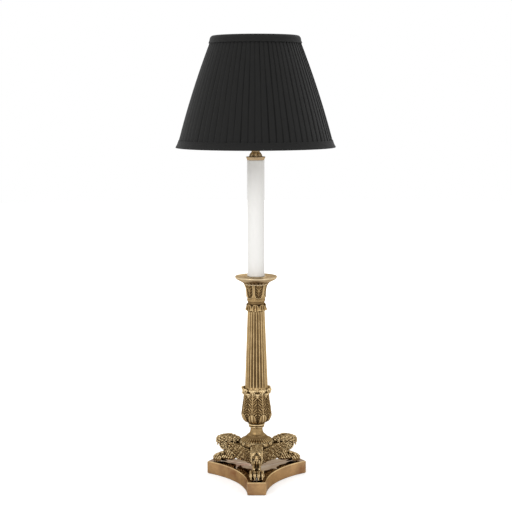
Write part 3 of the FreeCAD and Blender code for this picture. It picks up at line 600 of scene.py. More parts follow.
for name, node in nodes.items():
    node.data.materials.clear()
    node.data.materials.append(finishes[slotFinish[nodeSlot[name]]])
print("finishes mixed")


def standFor(piece, node, finish):  # the piece takes the place of a CAD node and moves with its body
    piece.data.materials.clear()
    piece.data.materials.append(finishes[finish])
    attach(piece, nodeBody[node])
    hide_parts(node)


# stem: turned, fluted and leafy castings

neck = {"sides": 128, "steps": 4, "wear": (10, 0.30, 0.60),
        "line": [(16.6, 0.0), (14.3, 1.5), (12.6, 3.8), (11.3, 7.4), (10.9, 11.2), (11.2, 13.6), (12.0, 14.2),
                 (13.4, 14.5), (13.9, 15.4), (13.4, 16.3), (12.3, 16.7), (12.2, 17.1), (13.6, 17.6), (14.7, 18.7),
                 (14.8, 20.4), (14.0, 21.6), (12.8, 22.0)]}


def makeNeck():
    piece = boredTurning("neckTurning", neck, levels("neck")[0])
    markWear(piece, *neck["wear"])
    standFor(piece, "neck", "gilt")


pan = {"sides": 384, "steps": 4, "wear": (10, 0.5, 0.66), "spigotHeight": 6.0, "spigotRadius": 13.7,
       "ribs": 24, "ribPhase": -73.5, "ribHigh": 7.5, "ribInside": 18,
       "line": [(21.4, 0.0), (22.8, 1.8), (25.0, 3.8), (28.9, 6.0), (33.4, 8.3), (36.4, 11.0), (37.3, 13.0),
                (37.1, 14.2), (36.4, 14.5), (35.4, 14.1), (33.0, 12.9), (29.0, 12.1), (24.0, 12.0), (20.0, 12.6),
                (17.6, 14.2), (15.6, 14.5)]}


def makeDripPan():
    foot = levels("drip_pan")[0]
    outer = raised(pan, foot)
    top = outer[-1][1] + pan["spigotHeight"]
    spigot = [(pan["spigotRadius"], outer[-1][1]), (pan["spigotRadius"], top), (stemBore, top), (stemBore, foot)]
    piece = spinLine("dripPanTurning", outer + spigot, pan["sides"])

    def hollow(angle, height):  # between the ribs that run on from the capital
        share = window(height - foot, 0.2, 1.4, pan["ribHigh"] - 2.5, pan["ribHigh"])
        return share * lobe(angle, pan["ribs"], pan["ribPhase"]) ** 2

    carve(piece, lambda angle, height, radius: (-hollow(angle, height), 0), pan["ribInside"])
    markWear(piece, *pan["wear"])
    # painted shade: faces that look downwards are darkened, and the grooves between the ribs underneath more so, so
    # these wear values also hold painted shade
    places, normals = readPoints(piece)
    values = []
    for (x, y, z), normal, point in zip(places, normals, piece.data.attributes["wear"].data):
        under = ease(-normal[2], 0.1, 0.6) * (math.hypot(x, y) > pan["ribInside"])
        groove = hollow(math.degrees(math.atan2(y, x)), z) if under else 0
        values.append(max(point.value * (1 - 0.30 * under) - 0.42 * groove, 0.0))
    writeWear(piece, values)
    # the pale gilt is painted reflection
    standFor(piece, "drip_pan", "giltPaleReflection")


flutes = {"count": 21, "phase": -80.2, "depth": 2.3, "grooveShare": 0.70, "points": 20, "levels": 60,
          "footRadius": 20.7, "topRadius": 15.3, "bore": 9.9, "lowMargin": 8, "highMargin": 0.8, "endLength": 3.0}


def makeColumn():
    low, high = levels("fluted_column")
    line = []
    for k in range(flutes["levels"] + 1):
        share = k / flutes["levels"]
        radius = flutes["footRadius"] + (flutes["topRadius"] - flutes["footRadius"]) * share
        line.append((radius, low + (high - low) * share))
    outline = [(flutes["bore"], low)] + line + [(flutes["bore"], high)]
    piece = spinLine("flutedColumn", outline, flutes["count"] * flutes["points"])

    def groove(angle, height, radius):
        across = abs(lobe(angle, flutes["count"], flutes["phase"])) / flutes["grooveShare"]
        inward = min(height - low - flutes["lowMargin"], high - height - flutes["highMargin"])
        fromEnd = inward / flutes["endLength"]
        if fromEnd < 0 or across > 1:
            return 0, 0
        end = math.sqrt(max(1 - (1 - min(fromEnd, 1)) ** 2, 0))
        return -flutes["depth"] * radius / flutes["footRadius"] * math.sqrt(1 - across ** 2) * end, 0

    carve(piece, groove, 11, (-3.1, 1.25))
    standFor(piece, "fluted_column", "column")


calyx = {"sides": 448, "steps": 8, "leaves": 8, "phase": -107.6, "rise": 58.0,
         "petalHalf": 6.6, "petalLow": 3.0, "petalHigh": 19.5,
         "tipHalf": 7.4, "tipFoot": (22, 52.5), "tipThickness": 1.3, "tipWear": (8, 0.45, 0.66),
         "smallTip": 0.62, "smallTipDrop": 3.0,
         "line": [(14.5, 0.0), (18.2, 2.0), (20.8, 4.4), (23.1, 7.9), (24.6, 11.6), (25.4, 15.0), (25.7, 19.0),
                  (25.4, 23.0), (24.6, 30.0), (23.5, 37.4), (22.4, 44.7), (21.8, 51.0), (22.0, 54.6), (22.6, 57.0),
                  (22.3, 58.3), (20.8, 58.0)],
         "tipLine": [(21.6, 52.5), (22.4, 57.0), (23.6, 61.4), (25.3, 64.2), (26.8, 63.6), (27.0, 61.4),
                     (25.9, 59.6)]}


def leafRelief(u, rise):  # an acanthus leaf's relief and wear; u is across, -1 to 1, and rise is from foot to tip
    side = abs(u)
    edge = 0.95 - 0.08 * abs(math.sin(math.pi * 7 * rise))
    inside = 1 - ease(side, edge - 0.03, edge + 0.04)
    vein = wave(12.5 * rise - 1.7 * side)
    fleck = wave(6.5 * rise + 1.8 * side) * wave(12.5 * rise + 0.25)
    broken = (0.60 * vein + 0.70 * fleck) * ease(side, 0.05, 0.15)
    rib = ridge(u, 0.075)
    relief = inside * (0.5 * (1 - side * side) + 0.80 * rib + 0.62 * broken + 0.45) - (1 - inside) * 0.35
    return relief, 0.22 + inside * (0.10 + 0.46 * rib + 0.44 * broken)


def leafTip(foot, angle, size):  # a leaf's end that curls out and over, lobed and ribbed
    clearSelection()
    bpy.ops.mesh.primitive_grid_add(x_subdivisions=28, y_subdivisions=26, size=2)
    tip = bpy.context.active_object
    footR, footZ = calyx["tipFoot"]
    sized = [(footR + (r - footR) * size, foot + footZ + (h - footZ) * size) for r, h in calyx["tipLine"]]
    line = smoothLine(sized, 6)
    for vertex in tip.data.vertices:
        across, along = vertex.co.x, (vertex.co.y + 1) / 2
        place = along * (len(line) - 1)
        index = min(int(place), len(line) - 2)
        r, z = (line[index][i] + (line[index + 1][i] - line[index][i]) * (place - index) for i in range(2))
        half = calyx["tipHalf"] * size * (1 - 0.55 * along ** 3) * (0.90 + 0.10 * wave(3 * along))
        r += -1.7 * size * across ** 2 + 0.42 * size * wave(1.5 * across) + 0.4 * size * ridge(across, 0.14)
        turn = math.radians(angle) + across * half / 24
        vertex.co = Vector((r * math.cos(turn), r * math.sin(turn), z)) * mm
    thick = tip.modifiers.new("thickness", "SOLIDIFY")
    thick.thickness = calyx["tipThickness"] * mm
    thick.offset = 0
    finishModifiers(tip)
    closeUp(tip)
    markWear(tip, *calyx["tipWear"])
    return tip


def makeCalyx():
    foot = levels("calyx")[0]
    piece = boredTurning("calyxCup", calyx, foot)

    def relief(angle, height, radius):
        rise = (height - foot) / calyx["rise"]
        u = lobe(angle, calyx["leaves"], calyx["phase"])
        across = u * math.pi / calyx["leaves"] * radius / calyx["petalHalf"]
        up = (height - foot - calyx["petalLow"]) / (calyx["petalHigh"] - calyx["petalLow"])
        top = abs(across) ** 2.6 + max(up - 0.45, 0) ** 2 / 0.3
        petal = 1 - ease(top, 0.92, 1.06) if 0 < up < 1.05 else 0
        bars = 0.35 * wave(1.5 * across) * (1 - ease(top, 0.5, 0.8))
        rim = ridge(top - 0.86, 0.13) * 0.55 + bars + 0.5 * ridge(across, 0.16)
        leafOut, leafWear = leafRelief(u, rise)
        leafWear *= 0.45 + 0.55 * ease(rise, 0.06, 0.3)
        outline = 0.55 * ridge(top - 1.18, 0.14) if 0 < up < 1.3 else 0
        out = window(rise, 0.02, 0.10, 0.93, 1.0) * ((1 - petal) * leafOut + petal * (1.55 + rim))
        return out, 0, (1 - petal) * leafWear + petal * (0.52 + 0.50 * rim) - outline

    carve(piece, relief, 14, (-0.9, 2.0))
    pitch = 360 / calyx["leaves"]
    tips = []
    for k in range(calyx["leaves"]):
        tips.append(leafTip(foot, calyx["phase"] + pitch * k, 1.0))
        tips.append(leafTip(foot - calyx["smallTipDrop"], calyx["phase"] + pitch * (k + 0.5), calyx["smallTip"]))
    cup = joinAll("calyxCup", [piece] + tips)
    shadeByAngle(cup, 60)
    standFor(cup, "calyx", "gilt")


collar = {"sides": 384, "steps": 7, "leaves": 8, "phase": -94.6, "leafHigh": 11.6, "boreLift": 1,
          "line": [(15.4, 0.2), (17.9, 0.0), (18.6, 1.4), (18.5, 3.0), (17.8, 5.0), (17.2, 8.0), (16.9, 11.0),
                   (16.2, 12.2), (15.1, 12.9), (14.9, 14.6), (15.4, 16.0)]}


def makeCollar():
    foot, top = levels("leaf_collar")
    piece = boredTurning("leafCollar", collar, foot, top, collar["boreLift"])

    def relief(angle, height, radius):
        u = lobe(angle, collar["leaves"], collar["phase"])
        side, h = abs(u), height - foot
        arch = side ** 2.2 + (max(h, 0) / collar["leafHigh"]) ** 3.0
        rim = ridge(arch - 0.84, 0.12)
        bars = wave(1.5 * u) * (1 - ease(arch, 0.55, 0.8))
        leaf = (0.75 * rim + 0.45 * bars - 0.9 * ease(arch, 0.98, 1.15)) * (1 - ease(h, 11.2, 12.6))
        drop = -1.6 * (1 - side ** 2) * (1 - ease(h, 0.6, 5.0)) + 0.9
        return leaf + 0.35 * ridge(h - 1.2, 1.2), drop * (1 - ease(h, 1.0, 6.0))

    carve(piece, relief, 15.0, (-0.95, 1.25))
    standFor(piece, "leaf_collar", "gilt")


capital = {"sides": 384, "steps": 8, "panels": 6, "phase": -73.5, "panelLow": 7.0, "panelHigh": 29.5,
           "halfTurn": 24.5,
           "line": [(15.2, 0.0), (16.0, 0.6), (16.3, 2.0), (16.2, 4.0), (15.6, 5.2), (15.9, 6.2), (16.5, 7.6),
                    (17.0, 10.0), (17.2, 13.0), (17.6, 17.0), (18.1, 20.5), (18.6, 24.0), (19.6, 27.0),
                    (20.8, 29.4), (21.5, 30.5)]}


def makeCapital():
    foot, top = levels("capital")
    piece = boredTurning("leafCapital", capital, foot, top)
    halfPitch = 180 / capital["panels"]

    def relief(angle, height, radius):
        turn = lobe(angle, capital["panels"], capital["phase"]) * halfPitch
        across = turn / capital["halfTurn"]
        side, h = abs(across), height - foot
        up = (h - capital["panelLow"]) / (capital["panelHigh"] - capital["panelLow"])
        if up < -0.3:
            return 0.35 * ridge(h - 2.6, 1.0), 0
        bowl = side ** 2.4 + max(0.42 - up, 0) ** 2.2 / 0.16  # 1 on the outline of the U shaped panel
        rim = ridge(bowl - 1.08, 0.16) * 0.85
        inside = 1 - ease(bowl, 0.86, 0.98)
        stem = 0.95 * ridge(across, 0.10) * ease(up, 0.10, 0.2)
        fronds = max(wave(4.6 * up - 1.25 * side), -0.4) * window(side, 0.10, 0.25, 0.72, 0.9)
        crown = 0.5 * ridge(math.hypot(across, (up - 0.86) * 1.6) - 0.42, 0.14)
        corner = 0.5 * ridge(turn % (2 * halfPitch) - halfPitch, 1.6)
        panel = rim + inside * (-0.85 + stem + 0.62 * fronds + crown) + (1 - inside) * 0.25 * corner
        return panel * (1 - ease(up, 1.0, 1.05)), 0

    carve(piece, relief, 14.5, (-1.5, 1.2))
    standFor(piece, "capital", "gilt")


dome = {"sides": 432, "steps": 6, "ribs": 36, "phase": -90, "ribHeight": 1.35,
        "line": [(25.6, 0.0), (27.4, 0.6), (28.1, 1.8), (27.4, 2.9), (25.2, 3.6), (22.9, 4.8), (20.4, 6.6),
                 (18.4, 8.4), (16.6, 10.5)]}


def makeDome():
    foot, top = levels("gadroon_dome")
    piece = boredTurning("ribbedDome", dome, foot, top)

    def relief(angle, height, radius):
        across = lobe(angle, dome["ribs"], dome["phase"])
        share = window(height - foot, 0.3, 2.2, 5.6, 7.2)
        out = (math.sqrt(max(1 - across * across, 0)) - 0.95) * dome["ribHeight"] * share
        return out, -0.25 * share * (1 - abs(across)), 0.42 + share * (0.85 * (1 - across * across) - 0.52)

    carve(piece, relief, 16, (-1.05, 1.05))
    standFor(piece, "gadroon_dome", "gilt")


roses = {"count": 12, "phase": -87.0, "radius": 29.4, "rise": 0.62, "petals": 6, "petalSize": (0.75, 1.25, 1.25),
         "petalOut": 2.35, "petalSquash": 0.92, "eyeSize": (0.95, 1.35, 1.35), "bedRadius": 27.0,
         "bedSize": (1.9, 3.6, 3.2), "bandSides": 144, "wear": (5, 0.4, 0.45)}


def makeRoseBand():
    low, high = levels("bead_ring")
    middle = low + (high - low) * roses["rise"]
    band = smoothLine([(24.8, low), (26.6, low + 0.4), (26.9, low + 1.2), (26.2, low + 2.0), (26.4, low + 4.5),
                       (26.2, high - 1.6), (27.2, high - 0.9), (26.9, high)], 4)
    ring = spinLine("roseBand", [(stemBore, low)] + band + [(stemBore, high)], roses["bandSides"])
    flower = [blob("roseEye", (roses["radius"], 0, middle), roses["eyeSize"], segments=10),
              blob("roseBed", (roses["bedRadius"], 0, middle), roses["bedSize"])]
    for k in range(roses["petals"]):
        turn = fullTurn * k / roses["petals"]
        aside, up = roses["petalOut"] * math.cos(turn), roses["petalOut"] * math.sin(turn) * roses["petalSquash"]
        place = (roses["radius"] - 0.5, aside, middle + up)
        flower.append(blob("rosePetal", place, roses["petalSize"], (turn, 0, 0), 10))
    first = joinAll("rose", flower)
    copies = [copyTurned(first, roses["phase"] + 360 / roses["count"] * k) for k in range(roses["count"])]
    bpy.data.objects.remove(first)
    ring = joinAll("roseBand", [ring] + copies)
    smooth(ring)
    markWear(ring, *roses["wear"])
    standFor(ring, "bead_ring", "gilt")


for make in (makeNeck, makeDripPan, makeColumn, makeCalyx, makeCollar, makeCapital, makeDome, makeRoseBand):
    make()
print("stem made")

# candle sleeve and its cap

sleeve = {"wall": 1.3, "edge": 0.35, "sides": 128}


def makeSleeve():
    low, high = levels("candle_sleeve")
    outer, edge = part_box("candle_sleeve")[1].x / mm, sleeve["edge"]
    inner = outer - sleeve["wall"]
    line = [(inner, low), (outer - edge, low), (outer, low + edge), (outer, low + 2), (outer, (low + high) / 2),
            (outer, high - 2), (outer, high - edge), (outer - edge, high), (inner, high)]
    piece = spinLine("candleSleeve", line, sleeve["sides"])
    shadeByAngle(piece, 50)
    standFor(piece, "candle_sleeve", "ivory")


cap = {"sides": 256, "steps": 5, "leaves": 8, "phase": -90, "footRadius": 13.5, "leafLow": 3.2, "leafRadius": 12.2,
       "line": [(13.6, 0.0), (14.9, 0.0), (15.2, 0.9), (15.5, 1.9), (16.2, 3.0), (16.75, 4.4), (16.75, 5.5),
                (16.3, 5.8), (15.7, 4.9), (14.9, 3.8), (13.6, 3.1), (12.2, 3.1), (11.5, 4.2), (11.1, 5.6),
                (10.9, 7.2), (10.2, 8.9), (9.6, 10.3), (8.4, 12.0), (7.3, 14.0), (7.2, 15.5)]}


def makeCap():
    low, top = levels("candle_cap")
    seat = levels("candle_sleeve")[1]
    outline = [(stemBore, low), (cap["footRadius"], low)] + raised(cap, seat) + [(stemBore, top)]
    piece = spinLine("candleCap", outline, cap["sides"])

    def relief(angle, height, radius):
        h = height - seat
        if h < cap["leafLow"] or radius > cap["leafRadius"]:
            return 0, 0, 0.50
        u = lobe(angle, cap["leaves"], cap["phase"])
        leaf = 0.75 * (1 - u * u) + 0.5 * ridge(u, 0.12) + 0.25 * wave(h / 3.0 - abs(u)) - 0.45
        return window(h, 3.4, 5.0, 12.5, 14.5) * leaf, 0

    carve(piece, relief, 6, (-1.3, 1.1))
    # the pale gilt is painted reflection
    standFor(piece, "candle_cap", "giltPaleReflection")


makeSleeve()
makeCap()
print("candle made")

# shade: pleated cover, bindings and lining

shade = {"pleats": 70, "pointsPerPleat": 12, "levels": 26, "depth": 2.25, "cloth": 0.45, "wobble": 0.24, "seed": 7,
         "lowRadius": 137.4, "highRadius": 74.6, "bow": 3.5, "tuck": 0.16}
shadeEnds = (levels("bottom_trim")[0], levels("top_trim")[1])
clothReach = {"cover": 0.11, "lining": 0.10}  # metres of cloth to a radian


def shadeSlope(height):  # outer radius of the pleats at a height
    low, high = shadeEnds
    share = (height - low) / (high - low)
    straight = shade["lowRadius"] + (shade["highRadius"] - shade["lowRadius"]) * share
    return straight + 4 * shade["bow"] * share * (1 - share)


def writeWeave(piece, places):  # the cloth's UV map, from one place for each point
    layers = piece.data.uv_layers
    layer = layers[0] if layers else layers.new(name="weave")
    for loop in piece.data.loops:
        layer.data[loop.index].uv = places[loop.vertex_index]


def wrapped(piece, reach):  # each point's place in a cloth that is laid round the axis
    return [(math.atan2(vertex.co.y, vertex.co.x) * reach, vertex.co.z) for vertex in piece.data.vertices]


def pleatFold(t, fullness):  # knife pleat: the crest hangs over a tuck, then the cloth slopes back
    if t < shade["tuck"]:
        return (0.02 - 0.10 * math.sin(math.pi * t / shade["tuck"]), 1 - 0.98 * ease(t, 0.0, shade["tuck"]))
    back = (t - shade["tuck"]) / (1 - shade["tuck"])
    return (0.02 + 0.98 * back, (0.04 + 0.62 * back ** 1.7 + 0.34 * ease(back, 0.86, 1.0)) * fullness)


def makePleats():
    low, high = levels("shade_cover")
    random.seed(shade["seed"])
    lean = [random.uniform(-1, 1) for _ in range(shade["pleats"])]
    fat = [random.uniform(-1, 1) for _ in range(shade["pleats"])]
    pitch = 360 / shade["pleats"]
    count = shade["pleats"] * shade["pointsPerPleat"]
    clearSelection()
    bpy.ops.mesh.primitive_grid_add(x_subdivisions=count, y_subdivisions=shade["levels"], size=2)
    piece = bpy.context.active_object
    piece.name = "pleatedCover"
    places, creaseShades = [], []
    for vertex in piece.data.vertices:
        column = round((vertex.co.x + 1) / 2 * count)
        level = (vertex.co.y + 1) / 2
        pleat, within = divmod(column % count, shade["pointsPerPleat"])
        t = within / shade["pointsPerPleat"]
        height = low + (high - low) * level
        sway = lean[pleat] * math.sin(3.1 * level + pleat) + 0.5 * fat[pleat] * math.sin(9.0 * level + 2 * pleat)
        turned, sunk = pleatFold(t, 1 + 0.18 * fat[pleat])
        angle = math.radians(-90 + pitch * (pleat + turned + shade["wobble"] * sway * 0.35))
        radius = shadeSlope(height) - shade["depth"] * sunk - 0.15
        places.append((angle * clothReach["cover"], height * mm))
        # painted shade: 1 in the tuck and the valley of each pleat, where the cloth's colour is darkened
        creaseShades.append(max(1 - ease(t, 0.10, 0.20), ease(t, 0.80, 0.97)))
        vertex.co = Vector((radius * math.cos(angle), radius * math.sin(angle), height)) * mm
    writeWeave(piece, places)
    piece.data.attributes.new("creaseShadeMask", "FLOAT", "POINT").data.foreach_set("value", creaseShades)
    closeUp(piece)
    thick = piece.modifiers.new("thickness", "SOLIDIFY")
    thick.thickness = shade["cloth"] * mm
    thick.offset = -1
    finishModifiers(piece)
    shadeByAngle(piece, 65)
    standFor(piece, "shade_cover", "cloth")
    return piece


trim = {"sides": 280, "inner": 66.8, "ripple": 0.16, "slack": 0.22, "stitchDepth": 0.35, "stitchWidth": 0.5}


def makeTrim(name, node, outline, stitch):  # a binding, a little slack, drawn in along its row of stitches
    piece = spinLine(name, outline, trim["sides"])

    def slack(angle, height, radius):
        turn = math.radians(angle)
        drift = noise.noise(Vector((math.cos(turn) * 6, math.sin(turn) * 6, height * 0.3)))
        ripple = trim["ripple"] * math.sin(turn * 35 + math.sin(height)) + trim["slack"] * drift
        return ripple * 0.6 - trim["stitchDepth"] * ridge(height - stitch, trim["stitchWidth"]), 0

    carve(piece, slack, 60)
    writeWeave(piece, wrapped(piece, clothReach["cover"]))
    standFor(piece, node, "cloth")
    return piece


def makeTrims():
    low, high = shadeEnds
    foot, head = levels("top_trim")[0], levels("bottom_trim")[1]
    inner, over, under = trim["inner"], shadeSlope(foot), shadeSlope(head)
    top = smoothLine([(over + 0.5, foot), (over + 1.2, foot + 0.8), (79.6, foot + 4.5), (78.9, high - 5.4),
                      (77.6, high - 2.6), (75.9, high - 0.8), (74.2, high - 0.1), (72.0, high),
                      (inner + 2.2, high - 0.3), (inner + 0.6, high - 1.8), (inner + 1.8, foot + 5),
                      (inner + 3.6, foot), (inner + 4.4, foot)], 3)
    bottom = smoothLine([(under + 0.4, head), (under + 1.1, head - 0.7), (136.4, head - 5.0), (138.2, low + 4.0),
                         (139.6, low + 1.6), (139.7, low + 0.5), (138.8, low), (135.5, low + 0.1), (131.0, low),
                         (130.2, low + 0.6), (129.6, low + 4.0), (127.0, head), (127.8, head)], 3)
    return (makeTrim("topBinding", "top_trim", top + [(inner + 5.0, high - 3), (76.4, high - 3)], foot + 2.0),
            makeTrim("bottomBinding", "bottom_trim", bottom + [(130.8, low + 2.2), (136.6, low + 2.4)], head - 2.0))


def makeLining():
    piece = copyOf("shade_lining", "shadeLining")
    writeWeave(piece, wrapped(piece, clothReach["lining"]))
    shadeByAngle(piece, 35)
    standFor(piece, "shade_lining", "lining")
    return piece


cover = makePleats()
trims = makeTrims()
lining = makeLining()
print("shade made")

# frame of the shade

wires = {"ring": 1.5, "ringPoints": 12, "ringSides": 160, "strut": 1.2, "strutSides": 12, "struts": 6,
         "bends": (0, 0.326, 0.66, 1), "near": 12}


def makeWires():
    radius = wires["ring"]
    turns = [fullTurn * k / wires["ringPoints"] for k in range(wires["ringPoints"])]
    for node in ("bottom_wire_ring", "top_wire_ring"):
        centre, middle = -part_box(node)[0].y / mm - radius, sum(levels(node)) / 2
        section = [(centre + radius * math.cos(turn), middle + radius * math.sin(turn)) for turn in turns]
        standFor(spinLine(node.replace("_wire_ring", "Wire"), section, wires["ringSides"]), node, "frame")
    low, high = levels("strut_1")  # the first upright stands over the front leg
    vertices = nodes["strut_1"].data.vertices
    points = [(round(math.hypot(v.co.x, v.co.y) / mm, 1), round(v.co.z / mm, 1)) for v in vertices]
    bends = []
    for share in wires["bends"]:
        height = low + (high - low) * share
        near = [r for r, z in points if abs(z - height) < wires["near"]]
        bends.append((0, -(min(near) + max(near)) / 2, height))
    line = smoothLine(bends)
    strut = tube("upright", line, [wires["strut"]] * len(line), wires["strutSides"])
    smooth(strut)
    for k in range(wires["struts"]):
        twin = copyTurned(strut, 360 / wires["struts"] * k, "upright" + str(k + 1))
        standFor(twin, "strut_" + str(k + 1), "frame")
    bpy.data.objects.remove(strut)


def softEdges(node, name, width, finish):  # a CAD node's own form with small rounded edges
    piece = copyOf(node, name)
    roundEdges(piece, width, 32)
    shadeByAngle(piece, 34)
    standFor(piece, node, finish)


makeWires()
for k in range(3):
    softEdges("fitter_arm_" + str(k + 1), "fitterArm" + str(k + 1), 0.3, "frame")
softEdges("fitter_ring", "fitterRing", 0.25, "frame")
softEdges("base_felt", "feltPad", 0.3, "felt")
print("shade frame made")

# lampholder and bulb, seen when the shade or the bulb is lifted

holder = {
    "threadPitch": 2.0, "threadDepth": 0.42, "shellPitch": 3.6, "shellDepth": 0.75, "shellDent": -0.36, "axis": 0.4,
    "skirtHigh": 32, "skirtOuter": 19.5, "skirtInner": 18.3,
    "base": [(5.05, 0), (8.6, 0), (9.0, 0.4), (9.0, 4.6), (9.6, 5.2), (13.0, 6.0), (16.4, 7.2), (18.6, 9.4),
             (19.5, 12.4), (19.5, 19.4), (19.2, 20), (18.3, 20), (18.3, 14), (15.3, 14), (9, 6.2), (5.05, 6.2)],
    "lip": [(19.5, 32.6), (19.2, 33.7), (18.6, 34), (15.5, 34), (15.2, 33.7), (15.2, 32.9), (15.5, 32.6),
            (18.3, 32.6)],
    "glass": [(12.4, 0.0), (13.2, 4.0), (14.6, 10.4), (16.3, 19.2), (17.3, 27.0), (17.5, 31.1), (17.3, 37.0),
              (16.6, 43.0), (14.7, 51.8), (12.4, 58.0), (9.6, 64.0), (6.6, 68.8), (3.6, 72.2), (1.2, 73.8),
              (0.4, 74.0)],
    "contacts": (("bulb_contact", "bulbContact", 4.6, "nickel"), ("centre_contact", "centreContact", 4.0, "brass")),
}


def wall(radius, low, high, pitch):  # a straight side in equal short steps
    count = max(int(round((high - low) / pitch)), 1)
    return [(radius, low + (high - low) * k / count) for k in range(count + 1)]


def thread(pitch, depth, low, high, least=0.0):  # helical relief between two heights, outside a radius
    def relief(angle, height, radius):
        share = window(height, low, low + pitch, high - pitch, high)
        return (depth / 2 * (wave(height / pitch - angle / 360) - 1) * share if radius > least else 0), 0
    return relief


def turnedTwin(node, name, line, finish, sides=96, relief=None, inner=0.0, angle=40):
    piece = spinLine(name, line, sides)
    if relief:
        carve(piece, relief, inner)
    shadeByAngle(piece, angle)
    standFor(piece, node, finish)


def makeHolder():
    axis = holder["axis"]
    z = levels("holder_base")[0]
    turnedTwin("holder_base", "holderBowl", [(r, z + h) for r, h in holder["base"]], "brass", 128)
    z = levels("holder_skirt")[0]
    outer, top = holder["skirtOuter"], z + holder["skirtHigh"]
    skirt = [(holder["skirtInner"], z)] + wall(outer, z, top, 0.4) + [(r, z + h) for r, h in holder["lip"]]
    turnedTwin("holder_skirt", "holderSkirt", skirt, "brass", 128,
               thread(holder["threadPitch"], holder["threadDepth"], z + 6, top, 19), 19)
    z, head = levels("holder_insulator")
    cup = [(2.0, z), (17.6, z), (18.0, z + 0.4), (18.0, head - 0.6), (17.4, head), (14.9, head), (14.4, head - 0.5),
           (14.4, z + 5), (2.0, z + 5)]
    turnedTwin("holder_insulator", "holderInsulator", cup, "ceramic")
    z, head = levels("screw_shell")
    shell = wall(14.1, z, head, 0.5) + [(13.7, head), (13.7, z)]
    turnedTwin("screw_shell", "screwShell", shell, "brass", 96,
               thread(holder["shellPitch"], holder["shellDent"], z + 1, head - 1), 12)
    z, head = levels("bulb_cap")
    side = wall(13.2, z + 1, head - 0.6, 0.4)
    skin = [(axis, z), (12.6, z), (13.0, z + 0.4)] + side + [(12.8, head), (axis, head)]
    turnedTwin("bulb_cap", "bulbCap", skin, "nickel", 96,
               thread(holder["shellPitch"], holder["shellDepth"], z + 1.5, head - 2.5, 12.9), 12.9, 60)
    z = levels("bulb_glass")[0]
    glass = smoothLine([(r, z + h) for r, h in holder["glass"]])
    turnedTwin("bulb_glass", "bulbGlass", [(axis, z)] + glass, "glass", 128, angle=60)
    z, head = levels("bulb_seal")
    seal = [(axis, z), (4.6, z), (7.8, z + 0.9), (11.2, z + 2.4), (12.9, head), (axis, head)]
    turnedTwin("bulb_seal", "bulbSeal", seal, "seal")
    for node, name, radius, finish in holder["contacts"]:
        z, head = levels(node)
        button = [(axis, z), (radius - 1.4, z), (radius - 0.3, z + 0.5), (radius, z + 1.2), (radius, head),
                  (axis, head)]
        turnedTwin(node, name, button, finish, 48)


grips = {"count": 24, "phase": -90, "depth": 1.1, "pointsPerGrip": 12, "inner": 24, "outer": 26}


def gripRelief(angle, height, radius):
    across = abs(lobe(angle, grips["count"], grips["phase"]))
    return -grips["depth"] * ease(across, 0.45, 0.95) * ease(radius, grips["inner"], grips["outer"]), 0


def makeRings():
    for node, name in (("lower_shade_ring", "lowerRing"), ("upper_shade_ring", "upperRing")):
        low, high = levels(node)
        line = [(19.55, low + 0.2), (20.0, low), (25.2, low), (26.0, low + 0.7), (26.0, high - 0.7), (25.2, high),
                (22.6, high), (22.3, high - 0.5), (20.4, high - 0.5), (19.55, high - 0.9)]
        turnedTwin(node, name, line, "ring", grips["count"] * grips["pointsPerGrip"], gripRelief, grips["inner"])


makeHolder()
makeRings()
print("holder made")

# legs, hub and plinth

leg = {"voxel": 0.62, "shankHalf": 6.6, "grooves": 3, "wear": (9, 0.27, 0.45),
       "voluteCentre": (66.0, 55.3), "voluteRadius": 8.6, "voluteHalf": 7.4,
       "spiralTurns": 1.9, "spiralSteps": 30, "spiralWire": 1.25,
       "crown": [(42, 72.6), (50, 75.2), (58, 75.6), (66, 73.6), (72, 70.2), (76.5, 66.0)],
       "kneeCurl": [(70.5, 8.2, 71.5), (75.5, 8.8, 70.5), (78.6, 8.4, 66.8), (77.4, 7.6, 63.6), (74.6, 7.4, 64.4),
                    (75.2, 7.6, 66.6)],
       "kneeWire": [2.1, 2.3, 2.1, 1.8, 1.5, 1.2],
       "frontCurl": [(72, 1.4, 71.6), (76.2, 2.6, 70.6), (79.0, 5.2, 69.0), (79.4, 8.0, 66.4), (78.2, 8.6, 63.6),
                     (77.4, 6.6, 62.6), (78.2, 5.2, 64.2)],
       "frontWire": [1.6, 1.9, 2.0, 1.9, 1.6, 1.4, 1.2],
       "bud": (78.4, 60.4), "toes": 4, "toePitch": 6.5,
       "placed": {"leg_front": -90, "leg_right": 30, "leg_left": 150}}


def onSide(points, side):  # a curl on one flank of the leg
    return [(x, side * y, z) for x, y, z in points]


